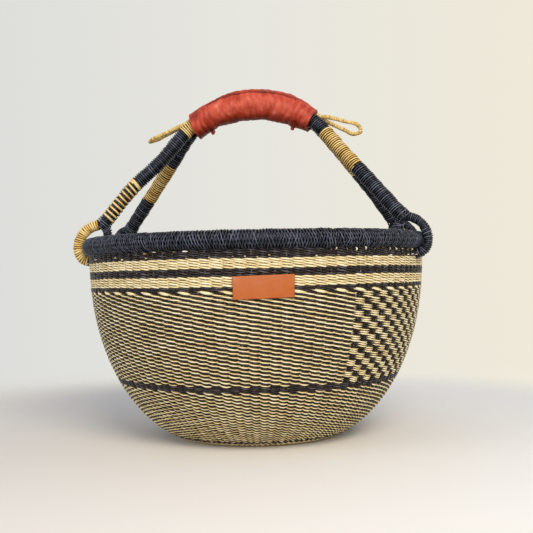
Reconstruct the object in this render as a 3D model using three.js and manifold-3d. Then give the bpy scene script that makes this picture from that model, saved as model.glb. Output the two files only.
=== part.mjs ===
// Bolga basket: a round bowl of twined elephant grass, with a whipped rim, and a handle of two
// straw-wrapped arches that are looped through the wall under the rim and meet in a leather grip.
// Millimetres. X runs along the handle, -Y is the front with the label, Z is up, and the origin is
// the middle of the flat base.
import * as THREE from 'three';
import { mergeVertices } from 'three/addons/utils/BufferGeometryUtils.js';
import Module from 'manifold-3d';

const wasm = await Module();
wasm.setup();

// Gap between pieces that touch on the real basket
const CLEARANCE = 0.3;

// Bowl: a flat round base that flares out and turns upright at the mouth
const BASE_RADIUS = 88;
const MOUTH_RADIUS = 192;
const WALL_THICKNESS = 4.6;
const FLARE_POWER = 2.29;
const ROUND_POWER = 1.54;
const BOWL_SEGMENTS = 52;
const BOWL_RINGS = 10;

// Rim: a ring of stems whipped with dark straw, which grips the top of the wall
const RIM_HEIGHT = 218.3;
const RIM_CORE_RADIUS = 6.3;
const RIM_WRAP_THICKNESS = 3.1;
const RIM_TUBE_RADIUS = RIM_CORE_RADIUS + CLEARANCE + RIM_WRAP_THICKNESS;
const RIM_RADIUS = MOUTH_RADIUS - WALL_THICKNESS / 2;
const WALL_TOP = RIM_HEIGHT - RIM_CORE_RADIUS - CLEARANCE;
const RIM_OUTER_STEPS = 9;
const RIM_INNER_STEPS = 7;

// Arches: two bundles of stems, side by side in the grip, that part on their way to the rim
const ARCH_CORE_RADIUS = 5.6;
const LEG_WRAP_THICKNESS = 2.5;
const LEG_RADIUS = ARCH_CORE_RADIUS + CLEARANCE + LEG_WRAP_THICKNESS;
const ARCH_OFFSET = LEG_RADIUS + 2 * CLEARANCE;
const GRIP_END_GAP = 1;
const ARCH_STEPS = 60;
const CORE_SIDES = 6;
const WRAP_SIDES = 11;
const WRAP_STEP_LENGTH = 12;
const SHOULDER_LENGTH = 8;
const SHOULDER_SPREAD = 1.2;

// How far a leg bows out at one and at two thirds of its way up from the foot
const LEG_BOWS = {
  left_front: [2.8, -1.2],
  left_back: [0, 0],
  right_front: [0, 0],
  right_back: [2, 1.5],
};

// Where the straw changes along each leg, as shares of its length from the grip to the foot
const WRAP_CHANGE_SHARES = {
  left_front: [0.09, 0.63],
  left_back: [0.37, 0.74],
  right_front: [0.11, 0.52],
  right_back: [0.12, 0.53],
};

// Grip: its axis is an arc, and its height changes along it
const GRIP_AXIS_HEIGHT = 381.8;
const GRIP_BEND_RADIUS = 119;
const GRIP_HALF_LENGTH = 69.5;
const GRIP_HALF_HEIGHT = 17;
const GRIP_HALF_DEPTH = 18;
const GRIP_HEIGHT_SHARES = [0.79, 0.83, 0.99, 1, 1, 0.93, 0.67];
const LEATHER_THICKNESS = 1.8;
const GRIP_STEPS = 12;
const GRIP_SIDES = 16;
const GRIP_END_ANGLE = Math.asin(GRIP_HALF_LENGTH / GRIP_BEND_RADIUS);
const GRIP_CENTRE_HEIGHT = GRIP_AXIS_HEIGHT - GRIP_BEND_RADIUS;

// Bands, seam and knots of the grip
const COLLAR_THICKNESS = 1.5;
const COLLAR_STEPS = 2;
const COLLAR_SHARE = COLLAR_STEPS / GRIP_STEPS;
const SEAM_THICKNESS = 1.2;
const SEAM_FROM_DEGREES = 72;
const SEAM_TO_DEGREES = 104;
const SEAM_COLUMNS = 3;
const KNOT_RADIUS = 2.8;
const KNOT_SHARE = 0.8;

// Small loops of wrapped straw that stick out of the grip's ends
const HANG_CORD_RADIUS = 2.4;
const HANG_LOOP_LENGTH = 50;
const HANG_LOOP_SHARES = [[0, 0.054], [0.15, 0.06], [0.3, 0.068], [0.62, 0.096], [0.86, 0.116]];
const HANG_TWIST_SHARE = 0.3;
const HANG_LEFT = { dropDegrees: 23, twistDegrees: 0 };
const HANG_RIGHT = { dropDegrees: 22, twistDegrees: 90 };
const HANG_STEPS = 24;
const HANG_SIDES = 6;

// Feet: closed loops of wrapped straw round the rim, pointed where they join the leg
const STRAND_RADIUS = 5.4;
const HOLE_CLEARANCE = 0.5;
const NECK_SHARES = [[-1.09, 0.6], [-1.1, 1.15], [-0.76, 1.62], [-0.1, 1.55], [0.62, 1.04]];
const APEX_INDEX = 2;
const FOOT_ARC_DEGREES = [15, -10, -35, -60, -90, -120, -150, -180];
const FOOT_STEPS = 34;
const FOOT_SIDES = 8;
const BINDING_THICKNESS = 1.7;
const BINDING_UP = 2.5;
const BINDING_DOWN = 4;

// Natural straw wound over the dark straw of the front left leg
const STRIPED_LEG = 'left_front';
const STRIPE_TURNS = 10;
const STRIPE_HALF_WIDTH = 1.3;
const STRIPE_HALF_THICKNESS = 0.65;
const STRIPE_BASE_THICKNESS = LEG_WRAP_THICKNESS - CLEARANCE - 2 * STRIPE_HALF_THICKNESS;

// Natural straw wound round the front left foot loop
const WOUND_FOOT = 'left_front';
const LOOP_WINDING_FROM_SHARES = [0.08, 1.46];
const LOOP_WINDING_TO_DEGREES = -72;
const LOOP_WINDING_TURNS = 17;
const LOOP_WINDING_RADIUS = 0.6;
const LOOP_CORE_RADIUS = 4.8;
const LOOP_WOUND_RADIUS = LOOP_CORE_RADIUS + CLEARANCE + 2 * LOOP_WINDING_RADIUS;
const WINDING_STEPS = 11;
const WINDING_SIDES = 5;
const CORNER_STEPS = 3;

// Label: a plain leather patch on the front wall
const LABEL_WIDTH = 59;
const LABEL_HEIGHT = 22;
const LABEL_THICKNESS = 1.6;
const LABEL_DROP = 39.2; // from the top of the wall to the middle of the label
const LABEL_TURN_DEGREES = 12;
const LABEL_COLUMNS = 8;
const LABEL_ROWS = 3;

const Y = new THREE.Vector3(0, 1, 0);
const Z = new THREE.Vector3(0, 0, 1);
const group = new THREE.Group();

const STRAW_NATURAL = 0xe0c47c;
const STRAW_DARK = 0x24222c;
const LEATHER_RED = 0xc5402e;
const LEATHER_TAN = 0xd0733a;
const STEMS = 0xb99a58;

function add(name, geometry, color) {
  geometry.computeVertexNormals();
  const mesh = new THREE.Mesh(geometry, new THREE.MeshStandardMaterial({ color }));
  mesh.name = name;
  group.add(mesh);
}

function meshOf(points, faces) {
  const geometry = new THREE.BufferGeometry();
  geometry.setAttribute('position', new THREE.Float32BufferAttribute(points.flat(), 3));
  geometry.setIndex(faces.flat());
  return geometry;
}

function solidOf(geometry) {
  const mesh = new wasm.Mesh({
    numProp: 3,
    vertProperties: new Float32Array(geometry.attributes.position.array),
    triVerts: new Uint32Array(geometry.index.array),
  });
  return new wasm.Manifold(mesh);
}

function geometryOf(solid) {
  const mesh = solid.getMesh();
  const geometry = new THREE.BufferGeometry();
  geometry.setAttribute('position', new THREE.Float32BufferAttribute(mesh.vertProperties, 3));
  geometry.setIndex(Array.from(mesh.triVerts));
  return geometry;
}

// A revolved solid: a closed outline of [radius, height] points turned round Z
function revolve(outline) {
  const points = [];
  const rows = [];
  for (let i = 0; i < BOWL_SEGMENTS; i += 1) {
    const angle = (2 * Math.PI * i) / BOWL_SEGMENTS;
    rows.push(outline.map(([radius, height], j) => {
      if (radius === 0 && i > 0) return rows[0][j];
      points.push([radius * Math.cos(angle), radius * Math.sin(angle), height]);
      return points.length - 1;
    }));
  }
  const faces = [];
  rows.forEach((here, i) => {
    const next = rows[(i + 1) % BOWL_SEGMENTS];
    outline.forEach((_, j) => {
      const k = (j + 1) % outline.length;
      if (here[j] !== next[j]) faces.push([here[j], next[j], next[k]]);
      if (here[k] !== next[k]) faces.push([here[j], next[k], here[k]]);
    });
  });
  return meshOf(points, faces);
}

// Stations are the places along a path that a section is swept through
function stationsOf(curve, from, to, steps, side) {
  const stations = [];
  for (let i = 0; i <= steps; i += 1) {
    const share = from + ((to - from) * i) / steps;
    const tangent = curve.getTangentAt(share).multiplyScalar(Math.sign(to - from));
    stations.push({ point: curve.getPointAt(share), share: i / steps, side, tangent });
  }
  return stations;
}

// Each station that has no tangent gets one, and its side is set square to it
function frameStations(stations, closed) {
  const last = stations.length - 1;
  return stations.map((station, i) => {
    const before = stations[closed ? (i + last) % (last + 1) : Math.max(i - 1, 0)];
    const after = stations[closed ? (i + 1) % (last + 1) : Math.min(i + 1, last)];
    const tangent = station.tangent ?? after.point.clone().sub(before.point).normalize();
    const side = station.side.clone().addScaledVector(tangent, -station.side.dot(tangent)).normalize();
    return { ...station, tangent, side, up: tangent.clone().cross(side) };
  });
}

function ringPoints(frame, section, sides) {
  const [across, up, spread = 0] = section(frame.share);
  const points = [];
  for (let j = 0; j < sides; j += 1) {
    const angle = (2 * Math.PI * (j + 0.5)) / sides;
    const sideways = Math.sign(Math.cos(angle)) * spread + across * Math.cos(angle);
    const point = frame.point.clone().addScaledVector(frame.side, sideways);
    points.push(point.addScaledVector(frame.up, up * Math.sin(angle)).toArray());
  }
  return points;
}

function skinFaces(rings, sides, start, closed, inward) {
  const faces = [];
  const spans = closed ? rings : rings - 1;
  for (let i = 0; i < spans; i += 1) {
    const here = start + i * sides;
    const next = start + ((i + 1) % rings) * sides;
    for (let j = 0; j < sides; j += 1) {
      const k = (j + 1) % sides;
      const quad = [[here + j, here + k, next + k], [here + j, next + k, next + j]];
      faces.push(...quad.map((face) => (inward ? face.reverse() : face)));
    }
  }
  return faces;
}

function discFaces(centre, start, sides, flip) {
  const faces = [];
  for (let j = 0; j < sides; j += 1) {
    const face = [centre, start + ((j + 1) % sides), start + j];
    faces.push(flip ? face.reverse() : face);
  }
  return faces;
}

function annulusFaces(outer, inner, sides, flip) {
  const faces = [];
  for (let j = 0; j < sides; j += 1) {
    const k = (j + 1) % sides;
    const quad = [[outer + j, inner + j, inner + k], [outer + j, inner + k, outer + k]];
    faces.push(...quad.map((face) => (flip ? face.reverse() : face)));
  }
  return faces;
}

// A section swept through stations: solid, or a sleeve when a bore section is given
function sweep(stations, sides, section, { bore = null, closed = false } = {}) {
  const frames = frameStations(stations, closed);
  const rings = frames.length;
  const points = frames.flatMap((frame) => ringPoints(frame, section, sides));
  const faces = skinFaces(rings, sides, 0, closed, false);
  const lastRing = (rings - 1) * sides;
  if (bore) {
    const start = points.length;
    points.push(...frames.flatMap((frame) => ringPoints(frame, bore, sides)));
    faces.push(...skinFaces(rings, sides, start, closed, true));
    faces.push(...annulusFaces(0, start, sides, false));
    faces.push(...annulusFaces(lastRing, start + lastRing, sides, true));
  } else if (!closed) {
    points.push(frames[0].point.toArray(), frames[rings - 1].point.toArray());
    faces.push(...discFaces(points.length - 2, 0, sides, false));
    faces.push(...discFaces(points.length - 1, lastRing, sides, true));
  }
  return meshOf(points, faces);
}

const round = (radius) => () => [radius, radius];
const boreRadius = (radius, sides) => (radius + CLEARANCE) / Math.cos(Math.PI / sides);

// A plate between two grids of points, such as a patch that lies on a curved wall
function plate(columns, rows, innerPoint, outerPoint) {
  const points = [];
  const faces = [];
  const across = rows + 1;
  const layer = (columns + 1) * across;
  for (const pointAt of [innerPoint, outerPoint]) {
    for (let i = 0; i <= columns; i += 1) {
      for (let j = 0; j <= rows; j += 1) {
        points.push(pointAt(i / columns, j / rows).toArray());
      }
    }
  }
  const at = (i, j) => i * across + j;
  const quad = (a, b, c, d) => faces.push([a, b, c], [a, c, d]);
  for (let i = 0; i < columns; i += 1) {
    for (let j = 0; j < rows; j += 1) {
      quad(at(i, j), at(i, j + 1), at(i + 1, j + 1), at(i + 1, j));
      quad(layer + at(i, j), layer + at(i + 1, j), layer + at(i + 1, j + 1), layer + at(i, j + 1));
    }
    quad(at(i, 0), at(i + 1, 0), layer + at(i + 1, 0), layer + at(i, 0));
    quad(at(i + 1, rows), at(i, rows), layer + at(i, rows), layer + at(i + 1, rows));
  }
  for (let j = 0; j < rows; j += 1) {
    quad(at(0, j + 1), at(0, j), layer + at(0, j), layer + at(0, j + 1));
    quad(at(columns, j), at(columns, j + 1), layer + at(columns, j + 1), layer + at(columns, j));
  }
  return meshOf(points, faces);
}

// Bowl and rim

// The outer line of the wall: turn 0 is the edge of the flat base, a quarter turn is the top
function wallLine(turn) {
  const out = Math.sin(turn) ** (2 / ROUND_POWER);
  const rise = 1 - Math.cos(turn) ** (2 / FLARE_POWER);
  return [BASE_RADIUS + (MOUTH_RADIUS - BASE_RADIUS) * out, WALL_TOP * rise];
}

function wallRadius(height) {
  const rest = 1 - height / WALL_TOP;
  const out = (1 - rest ** FLARE_POWER) ** (1 / ROUND_POWER);
  return BASE_RADIUS + (MOUTH_RADIUS - BASE_RADIUS) * out;
}

function innerWallPoint(turn, step) {
  const [radius, height] = wallLine(turn);
  const [radiusBefore, heightBefore] = wallLine(Math.max(turn - step, 0));
  const [radiusAfter, heightAfter] = wallLine(Math.min(turn + step, Math.PI / 2));
  const along = new THREE.Vector2(radiusAfter - radiusBefore, heightAfter - heightBefore).normalize();
  return [radius - WALL_THICKNESS * along.y, height + WALL_THICKNESS * along.x];
}

function bowlOutline() {
  const outer = [];
  const inner = [];
  for (let i = 0; i <= BOWL_RINGS; i += 1) {
    const turn = (Math.PI / 2) * (i / BOWL_RINGS);
    outer.push(wallLine(turn));
    inner.push(innerWallPoint(turn, Math.PI / 4 / BOWL_RINGS));
  }
  inner[0] = [BASE_RADIUS, WALL_THICKNESS];
  inner[BOWL_RINGS] = [MOUTH_RADIUS - WALL_THICKNESS, WALL_TOP];
  return [[0, 0], ...outer, ...inner.reverse(), [0, WALL_THICKNESS]];
}

// Where a foot loop crosses the rim: outward is the way from the basket's axis
function footFrame(side, swingDegrees, loopRadius) {
  const swing = THREE.MathUtils.degToRad(swingDegrees);
  const outward = new THREE.Vector3(side * Math.cos(swing), Math.sin(swing), 0);
  const centre = outward.clone().multiplyScalar(RIM_RADIUS).addScaledVector(Z, RIM_HEIGHT);
  const pointAt = (out, up) => centre.clone().addScaledVector(outward, out).addScaledVector(Z, up);
  const [apexOut, apexUp] = NECK_SHARES[APEX_INDEX];
  const apex = pointAt(apexOut * loopRadius, apexUp * loopRadius);
  return { side, outward, pointAt, loopRadius, apex, across: outward.clone().cross(Z) };
}

const LOOP_RADIUS = RIM_TUBE_RADIUS + CLEARANCE + STRAND_RADIUS;
const WOUND_LOOP_RADIUS = RIM_TUBE_RADIUS + CLEARANCE + LOOP_WOUND_RADIUS;

// Swing is the angle from the end of the handle, away from the front
const FEET = {
  left_front: footFrame(-1, -12, WOUND_LOOP_RADIUS),
  left_back: footFrame(-1, 18, LOOP_RADIUS),
  right_front: footFrame(1, -15, LOOP_RADIUS),
  right_back: footFrame(1, 25, LOOP_RADIUS),
};

function makeBowl() {
  let bowl = solidOf(revolve(bowlOutline()));
  for (const foot of Object.values(FEET)) {
    const under = -foot.loopRadius;
    const from = foot.pointAt(-2 * WALL_THICKNESS, under);
    const to = foot.pointAt(2 * WALL_THICKNESS, under);
    const stations = [from, to].map((point) => ({ point, share: 0, side: Z }));
    bowl = bowl.subtract(solidOf(sweep(stations, WRAP_SIDES, round(STRAND_RADIUS + HOLE_CLEARANCE))));
  }
  add('woven_bowl', geometryOf(bowl), STRAW_NATURAL);
}

function rimPoint(radius, angle) {
  return [RIM_RADIUS + radius * Math.cos(angle), RIM_HEIGHT + radius * Math.sin(angle)];
}

function makeRim() {
  const core = [];
  for (let i = 0; i < CORE_SIDES; i += 1) {
    core.push(rimPoint(RIM_CORE_RADIUS, (2 * Math.PI * (i + 0.5)) / CORE_SIDES));
  }
  add('rim_core', revolve(core), STEMS);

  // The wrap is open underneath, where the wall stands in it
  const slot = WALL_THICKNESS / 2 + CLEARANCE;
  const inner = boreRadius(RIM_CORE_RADIUS, RIM_INNER_STEPS);
  const outline = [];
  const arc = (radius, steps, direction) => {
    const half = Math.PI - Math.asin(slot / radius);
    for (let i = 0; i <= steps; i += 1) {
      const share = (2 * i) / steps - 1;
      outline.push(rimPoint(radius, Math.PI / 2 + direction * share * half));
    }
  };
  arc(RIM_TUBE_RADIUS, RIM_OUTER_STEPS, 1);
  arc(inner, RIM_INNER_STEPS, -1);
  add('rim_wrap', revolve(outline), STRAW_DARK);
}

function makeLabel() {
  const middle = -Math.PI / 2 + THREE.MathUtils.degToRad(LABEL_TURN_DEGREES);
  const pointAt = (lift) => (i, j) => {
    const height = WALL_TOP - LABEL_DROP + LABEL_HEIGHT * (j - 1 / 2);
    const angle = middle + (LABEL_WIDTH / MOUTH_RADIUS) * (i - 1 / 2);
    const radius = wallRadius(height) + lift;
    return new THREE.Vector3(radius * Math.cos(angle), radius * Math.sin(angle), height);
  };
  const lift = CLEARANCE + LABEL_THICKNESS;
  add('label_patch', plate(LABEL_COLUMNS, LABEL_ROWS, pointAt(CLEARANCE), pointAt(lift)), LEATHER_TAN);
}

// Foot loops

function footPath(foot) {
  const arc = FOOT_ARC_DEGREES.map((degrees) => {
    const angle = THREE.MathUtils.degToRad(degrees);
    return foot.pointAt(foot.loopRadius * Math.cos(angle), foot.loopRadius * Math.sin(angle));
  });
  const neck = NECK_SHARES.map(([out, up]) => foot.pointAt(foot.loopRadius * out, foot.loopRadius * up));
  return new THREE.CatmullRomCurve3([...neck, ...arc], true, 'centripetal');
}

const SHARE_SAMPLES = 3000;

// The share of a path's length at which it passes nearest to a point
function shareNear(path, point) {
  const distances = path.getSpacedPoints(SHARE_SAMPLES).map((sample) => sample.distanceTo(point));
  return distances.indexOf(Math.min(...distances)) / SHARE_SAMPLES;
}

// A straw wound round a path. Its route is drawn flat, as the way along against the way round, and
// rolled up: it comes in along the path, turns, winds, and runs out along the path again.
function windingStations(place, length, radius, turns, halfWidth) {
  const round = 2 * Math.PI * radius * turns;
  const inset = 4 * halfWidth;
  const first = new THREE.Vector2(inset, 0);
  const last = new THREE.Vector2(length - inset, round);
  const slope = last.clone().sub(first).setLength(2 * halfWidth);
  const flat = [new THREE.Vector2(0, 0), new THREE.Vector2(2 * halfWidth, 0)];
  const corner = (from, control, to) => {
    const bend = new THREE.QuadraticBezierCurve(from, control, to);
    flat.push(...bend.getPoints(CORNER_STEPS).slice(1));
  };
  corner(flat[1], first, first.clone().add(slope));
  const steps = turns * WINDING_STEPS;
  for (let i = 1; i < steps; i += 1) {
    flat.push(first.clone().add(slope).lerp(last.clone().sub(slope), i / steps));
  }
  flat.push(last.clone().sub(slope));
  corner(flat.at(-1), last, new THREE.Vector2(length - 2 * halfWidth, round));
  flat.push(new THREE.Vector2(length, round));
  return flat.map((spot) => {
    const { point, side, up } = place(spot.x / length);
    const angle = spot.y / radius;
    const out = side.clone().multiplyScalar(Math.cos(angle)).addScaledVector(up, Math.sin(angle));
    return { point: point.clone().addScaledVector(out, radius), side: out, share: 0 };
  });
}

// Tells where a winding's path is: the point, side and up at a share of a stretch of path
function placeOn(path, from, to, side) {
  return (share) => {
    const at = from + (to - from) * share;
    const tangent = path.getTangentAt(at);
    const square = side.clone().addScaledVector(tangent, -side.dot(tangent)).normalize();
    return { point: path.getPointAt(at), side: square, up: tangent.clone().cross(square) };
  };
}

// Measures how near a winding comes to its own other turns, from surface to surface
function printLeastGap(name, stations, width) {
  let least = Infinity;
  const apart = WINDING_STEPS / 2;
  stations.forEach((station, i) => {
    stations.slice(i + apart).forEach((other) => {
      least = Math.min(least, station.point.distanceTo(other.point) - width);
    });
  });
  console.log(`${name}: least gap to itself ${least.toFixed(2)} mm`);
}

function addWinding(name, place, length, radius, turns, halfWidth, halfThickness) {
  const stations = windingStations(place, length, radius, turns, halfWidth);
  printLeastGap(name, stations, 2 * halfWidth);
  add(name, sweep(stations, WINDING_SIDES, () => [halfThickness, halfWidth]), STRAW_NATURAL);
}

// The straw runs from the neck of the loop, round its outside, to the wall
function makeLoopWinding(name, foot, path) {
  const end = THREE.MathUtils.degToRad(LOOP_WINDING_TO_DEGREES);
  const [out, up] = LOOP_WINDING_FROM_SHARES;
  const from = shareNear(path, foot.pointAt(out * foot.loopRadius, up * foot.loopRadius));
  const wallEnd = foot.pointAt(foot.loopRadius * Math.cos(end), foot.loopRadius * Math.sin(end));
  const to = shareNear(path, wallEnd);
  const place = placeOn(path, from, to, foot.across);
  const radius = LOOP_CORE_RADIUS + CLEARANCE + LOOP_WINDING_RADIUS;
  const length = path.getLength() * (to - from);
  const half = LOOP_WINDING_RADIUS;
  addWinding(`${name}_loop_winding`, place, length, radius, LOOP_WINDING_TURNS, half, half);
  return [from, to];
}

function makeFootLoop(name, foot) {
  const path = footPath(foot);
  const stations = stationsOf(path, 0, 1, FOOT_STEPS, foot.across).slice(0, -1);
  let section = round(STRAND_RADIUS);
  if (name === WOUND_FOOT) {
    // The straw lies on a thinner core, which widens a step past each end of it
    const [from, to] = makeLoopWinding(name, foot, path);
    const isWound = (share) => share > from - 1 / FOOT_STEPS && share < to + 1 / FOOT_STEPS;
    section = (share) => round(isWound(share) ? LOOP_CORE_RADIUS : STRAND_RADIUS)();
  }
  add(`${name}_foot_loop`, sweep(stations, FOOT_SIDES, section, { closed: true }), STRAW_DARK);
  return solidOf(sweep(stations, FOOT_SIDES, round(STRAND_RADIUS + CLEARANCE), { closed: true }));
}

// Arches and their wraps

function gripPoint(angle, depth) {
  const out = GRIP_BEND_RADIUS * Math.sin(angle);
  return new THREE.Vector3(out, depth, GRIP_CENTRE_HEIGHT + GRIP_BEND_RADIUS * Math.cos(angle));
}

// A leg leaves the grip in line with it and runs to the apex of its foot loop, with a slight bow
function legOf(foot, bows, depth) {
  const end = gripPoint(foot.side * GRIP_END_ANGLE, depth);
  const outward = new THREE.Vector3(foot.side * Math.cos(GRIP_END_ANGLE), 0, -Math.sin(GRIP_END_ANGLE));
  const shoulder = end.clone().addScaledVector(outward, SHOULDER_LENGTH);
  shoulder.y += Math.sign(depth) * SHOULDER_SPREAD;
  const direction = shoulder.clone().sub(foot.apex).normalize();
  const start = foot.apex.clone().addScaledVector(direction, STRAND_RADIUS + 2 * CLEARANCE);
  const bowed = new THREE.Vector3().crossVectors(direction, Y).normalize().multiplyScalar(-foot.side);
  const middle = bows.map((bow, i) => start.clone().lerp(shoulder, (i + 1) / 3).addScaledVector(bowed, bow));
  return { foot, direction, start, end, points: [start, ...middle, shoulder, end] };
}

const ARC_POINTS = 4;

function archPath(left, right, depth) {
  const grip = [];
  for (let i = 1 - ARC_POINTS; i < ARC_POINTS; i += 1) {
    grip.push(gripPoint((i / ARC_POINTS) * GRIP_END_ANGLE, depth));
  }
  const route = [...left.points, ...grip, ...right.points.toReversed()];
  return new THREE.CatmullRomCurve3(route, false, 'centripetal');
}

// The crotch binding: straw wound round the end of the leg and the neck of the foot loop
function makeCrotchBinding(name, leg, grownLoop) {
  const { foot, direction, start } = leg;
  const top = start.clone().addScaledVector(direction, BINDING_UP);
  const bottom = foot.apex.clone().addScaledVector(direction, -BINDING_DOWN);
  const wide = LEG_RADIUS + BINDING_THICKNESS;
  const deep = STRAND_RADIUS + CLEARANCE + BINDING_THICKNESS;
  const swell = (share) => Math.sin((share * Math.PI) / 2);
  const section = (share) => [
    LEG_RADIUS + (wide - LEG_RADIUS) * swell(share),
    LEG_RADIUS + (deep - LEG_RADIUS) * swell(share),
  ];
  const shares = [0, 0.35, 0.7, 1];
  const side = foot.outward;
  const stations = shares.map((share) => ({ point: top.clone().lerp(bottom, share), share, side }));
  const stub = [-CLEARANCE, BINDING_UP + CLEARANCE].map((along) => {
    return { point: start.clone().addScaledVector(direction, along), share: 0, side };
  });
  const bore = solidOf(sweep(stub, WRAP_SIDES, round(boreRadius(ARCH_CORE_RADIUS, WRAP_SIDES))));
  const body = solidOf(sweep(stations, WRAP_SIDES, section));
  add(`${name}_crotch_binding`, geometryOf(body.subtract(grownLoop).subtract(bore)), STRAW_DARK);
}

function makeLegWraps(name, path, gripShare, footShare) {
  const length = path.getLength();
  const toward = Math.sign(footShare - gripShare);
  const from = gripShare + (toward * GRIP_END_GAP) / length;
  const to = footShare - (toward * (BINDING_UP + CLEARANCE)) / length;
  const changes = [0, ...WRAP_CHANGE_SHARES[name], 1].map((share) => from + (to - from) * share);
  const natural = name === STRIPED_LEG ? 0 : 1;
  ['upper', 'middle', 'lower'].forEach((place, i) => {
    const gap = (toward * CLEARANCE) / 2 / length;
    const start = changes[i] + gap;
    const end = changes[i + 1] - gap;
    const steps = Math.ceil((Math.abs(end - start) * length) / WRAP_STEP_LENGTH) + 1;
    const stations = stationsOf(path, start, end, steps, Y);
    const striped = name === STRIPED_LEG && place === 'lower';
    const thickness = striped ? STRIPE_BASE_THICKNESS : LEG_WRAP_THICKNESS;
    const bore = round(boreRadius(ARCH_CORE_RADIUS, WRAP_SIDES));
    const outer = round(ARCH_CORE_RADIUS + CLEARANCE + thickness);
    const color = i === natural ? STRAW_NATURAL : STRAW_DARK;
    add(`${name}_wrap_${place}`, sweep(stations, WRAP_SIDES, outer, { bore }), color);
    if (striped) makeStripes(name, path, start, end, ARCH_CORE_RADIUS + CLEARANCE + thickness);
  });
}

function makeStripes(name, path, start, end, baseRadius) {
  const radius = baseRadius + CLEARANCE + STRIPE_HALF_THICKNESS;
  const length = path.getLength() * Math.abs(end - start);
  const place = placeOn(path, start, end, Y);
  const size = [STRIPE_TURNS, STRIPE_HALF_WIDTH, STRIPE_HALF_THICKNESS];
  addWinding(`${name}_stripe_winding`, place, length, radius, ...size);
}

function makeArch(name, depth) {
  const [left, right] = ['left', 'right'].map((side) => {
    return legOf(FEET[`${side}_${name}`], LEG_BOWS[`${side}_${name}`], depth);
  });
  const path = archPath(left, right, depth);
  const stations = stationsOf(path, 0, 1, ARCH_STEPS, Y);
  add(`${name}_arch_core`, sweep(stations, CORE_SIDES, round(ARCH_CORE_RADIUS)), STEMS);
  makeLegWraps(`left_${name}`, path, shareNear(path, left.end), 0);
  makeLegWraps(`right_${name}`, path, shareNear(path, right.end), 1);
  for (const [side, leg] of Object.entries({ left, right })) {
    const grownLoop = makeFootLoop(`${side}_${name}`, leg.foot);
    makeCrotchBinding(`${side}_${name}`, leg, grownLoop);
  }
}

// Grip

class GripAxis extends THREE.Curve {
  getPoint(share) {
    return gripPoint((2 * share - 1) * GRIP_END_ANGLE, 0);
  }
}

const gripHeightPoints = GRIP_HEIGHT_SHARES.map((share, i) => new THREE.Vector2(i, share));
const gripHeights = new THREE.SplineCurve(gripHeightPoints);

// The outer surface of the leather, or a surface that lies off it by a lift
const gripSection = (lift, from = 0, to = 1) => (share) => {
  const height = GRIP_HALF_HEIGHT * gripHeights.getPoint(from + (to - from) * share).y;
  return [GRIP_HALF_DEPTH + lift, height + lift];
};

function makeGripCover() {
  const stations = stationsOf(new GripAxis(), 0, 1, GRIP_STEPS, Y);
  const rho = boreRadius(ARCH_CORE_RADIUS, GRIP_SIDES);
  const inside = gripSection(-LEATHER_THICKNESS - CLEARANCE);
  const bore = () => [rho, rho, ARCH_OFFSET];
  add('grip_binding', sweep(stations, GRIP_SIDES, inside, { bore }), STRAW_NATURAL);
  const lining = gripSection(-LEATHER_THICKNESS);
  add('grip_leather', sweep(stations, GRIP_SIDES, gripSection(0), { bore: lining }), LEATHER_RED);
}

function makeCollar(name, from, to) {
  const stations = stationsOf(new GripAxis(), from, to, COLLAR_STEPS, Y);
  const outer = gripSection(CLEARANCE + COLLAR_THICKNESS, from, to);
  const bore = gripSection(CLEARANCE, from, to);
  add(name, sweep(stations, GRIP_SIDES, outer, { bore }), LEATHER_RED);
}

function gripSurface(share, angle, lift) {
  const [across, up] = gripSection(lift)(share);
  const turn = (2 * share - 1) * GRIP_END_ANGLE;
  const rise = new THREE.Vector3(Math.sin(turn), 0, Math.cos(turn));
  const axis = gripPoint(turn, 0);
  return axis.addScaledVector(Y, across * Math.cos(angle)).addScaledVector(rise, up * Math.sin(angle));
}

function makeSeamFlap() {
  const from = THREE.MathUtils.degToRad(SEAM_FROM_DEGREES);
  const to = THREE.MathUtils.degToRad(SEAM_TO_DEGREES);
  const margin = CLEARANCE / GRIP_HALF_LENGTH;
  const first = COLLAR_SHARE + margin;
  const pointAt = (lift) => (i, j) => {
    const share = first + (1 - 2 * first) * j;
    return gripSurface(share, from + (to - from) * i, lift);
  };
  const lift = CLEARANCE + SEAM_THICKNESS;
  add('grip_seam_flap', plate(SEAM_COLUMNS, GRIP_STEPS, pointAt(CLEARANCE), pointAt(lift)), LEATHER_RED);
}

function makeKnot(name, share) {
  const knot = new THREE.IcosahedronGeometry(KNOT_RADIUS, 1);
  knot.deleteAttribute('normal');
  knot.deleteAttribute('uv');
  const lift = COLLAR_THICKNESS + 2 * CLEARANCE + KNOT_RADIUS;
  const at = gripSurface(share, -Math.PI / 2, lift);
  const merged = mergeVertices(knot);
  merged.translate(at.x, at.y, at.z);
  add(name, merged, LEATHER_RED);
}

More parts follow.
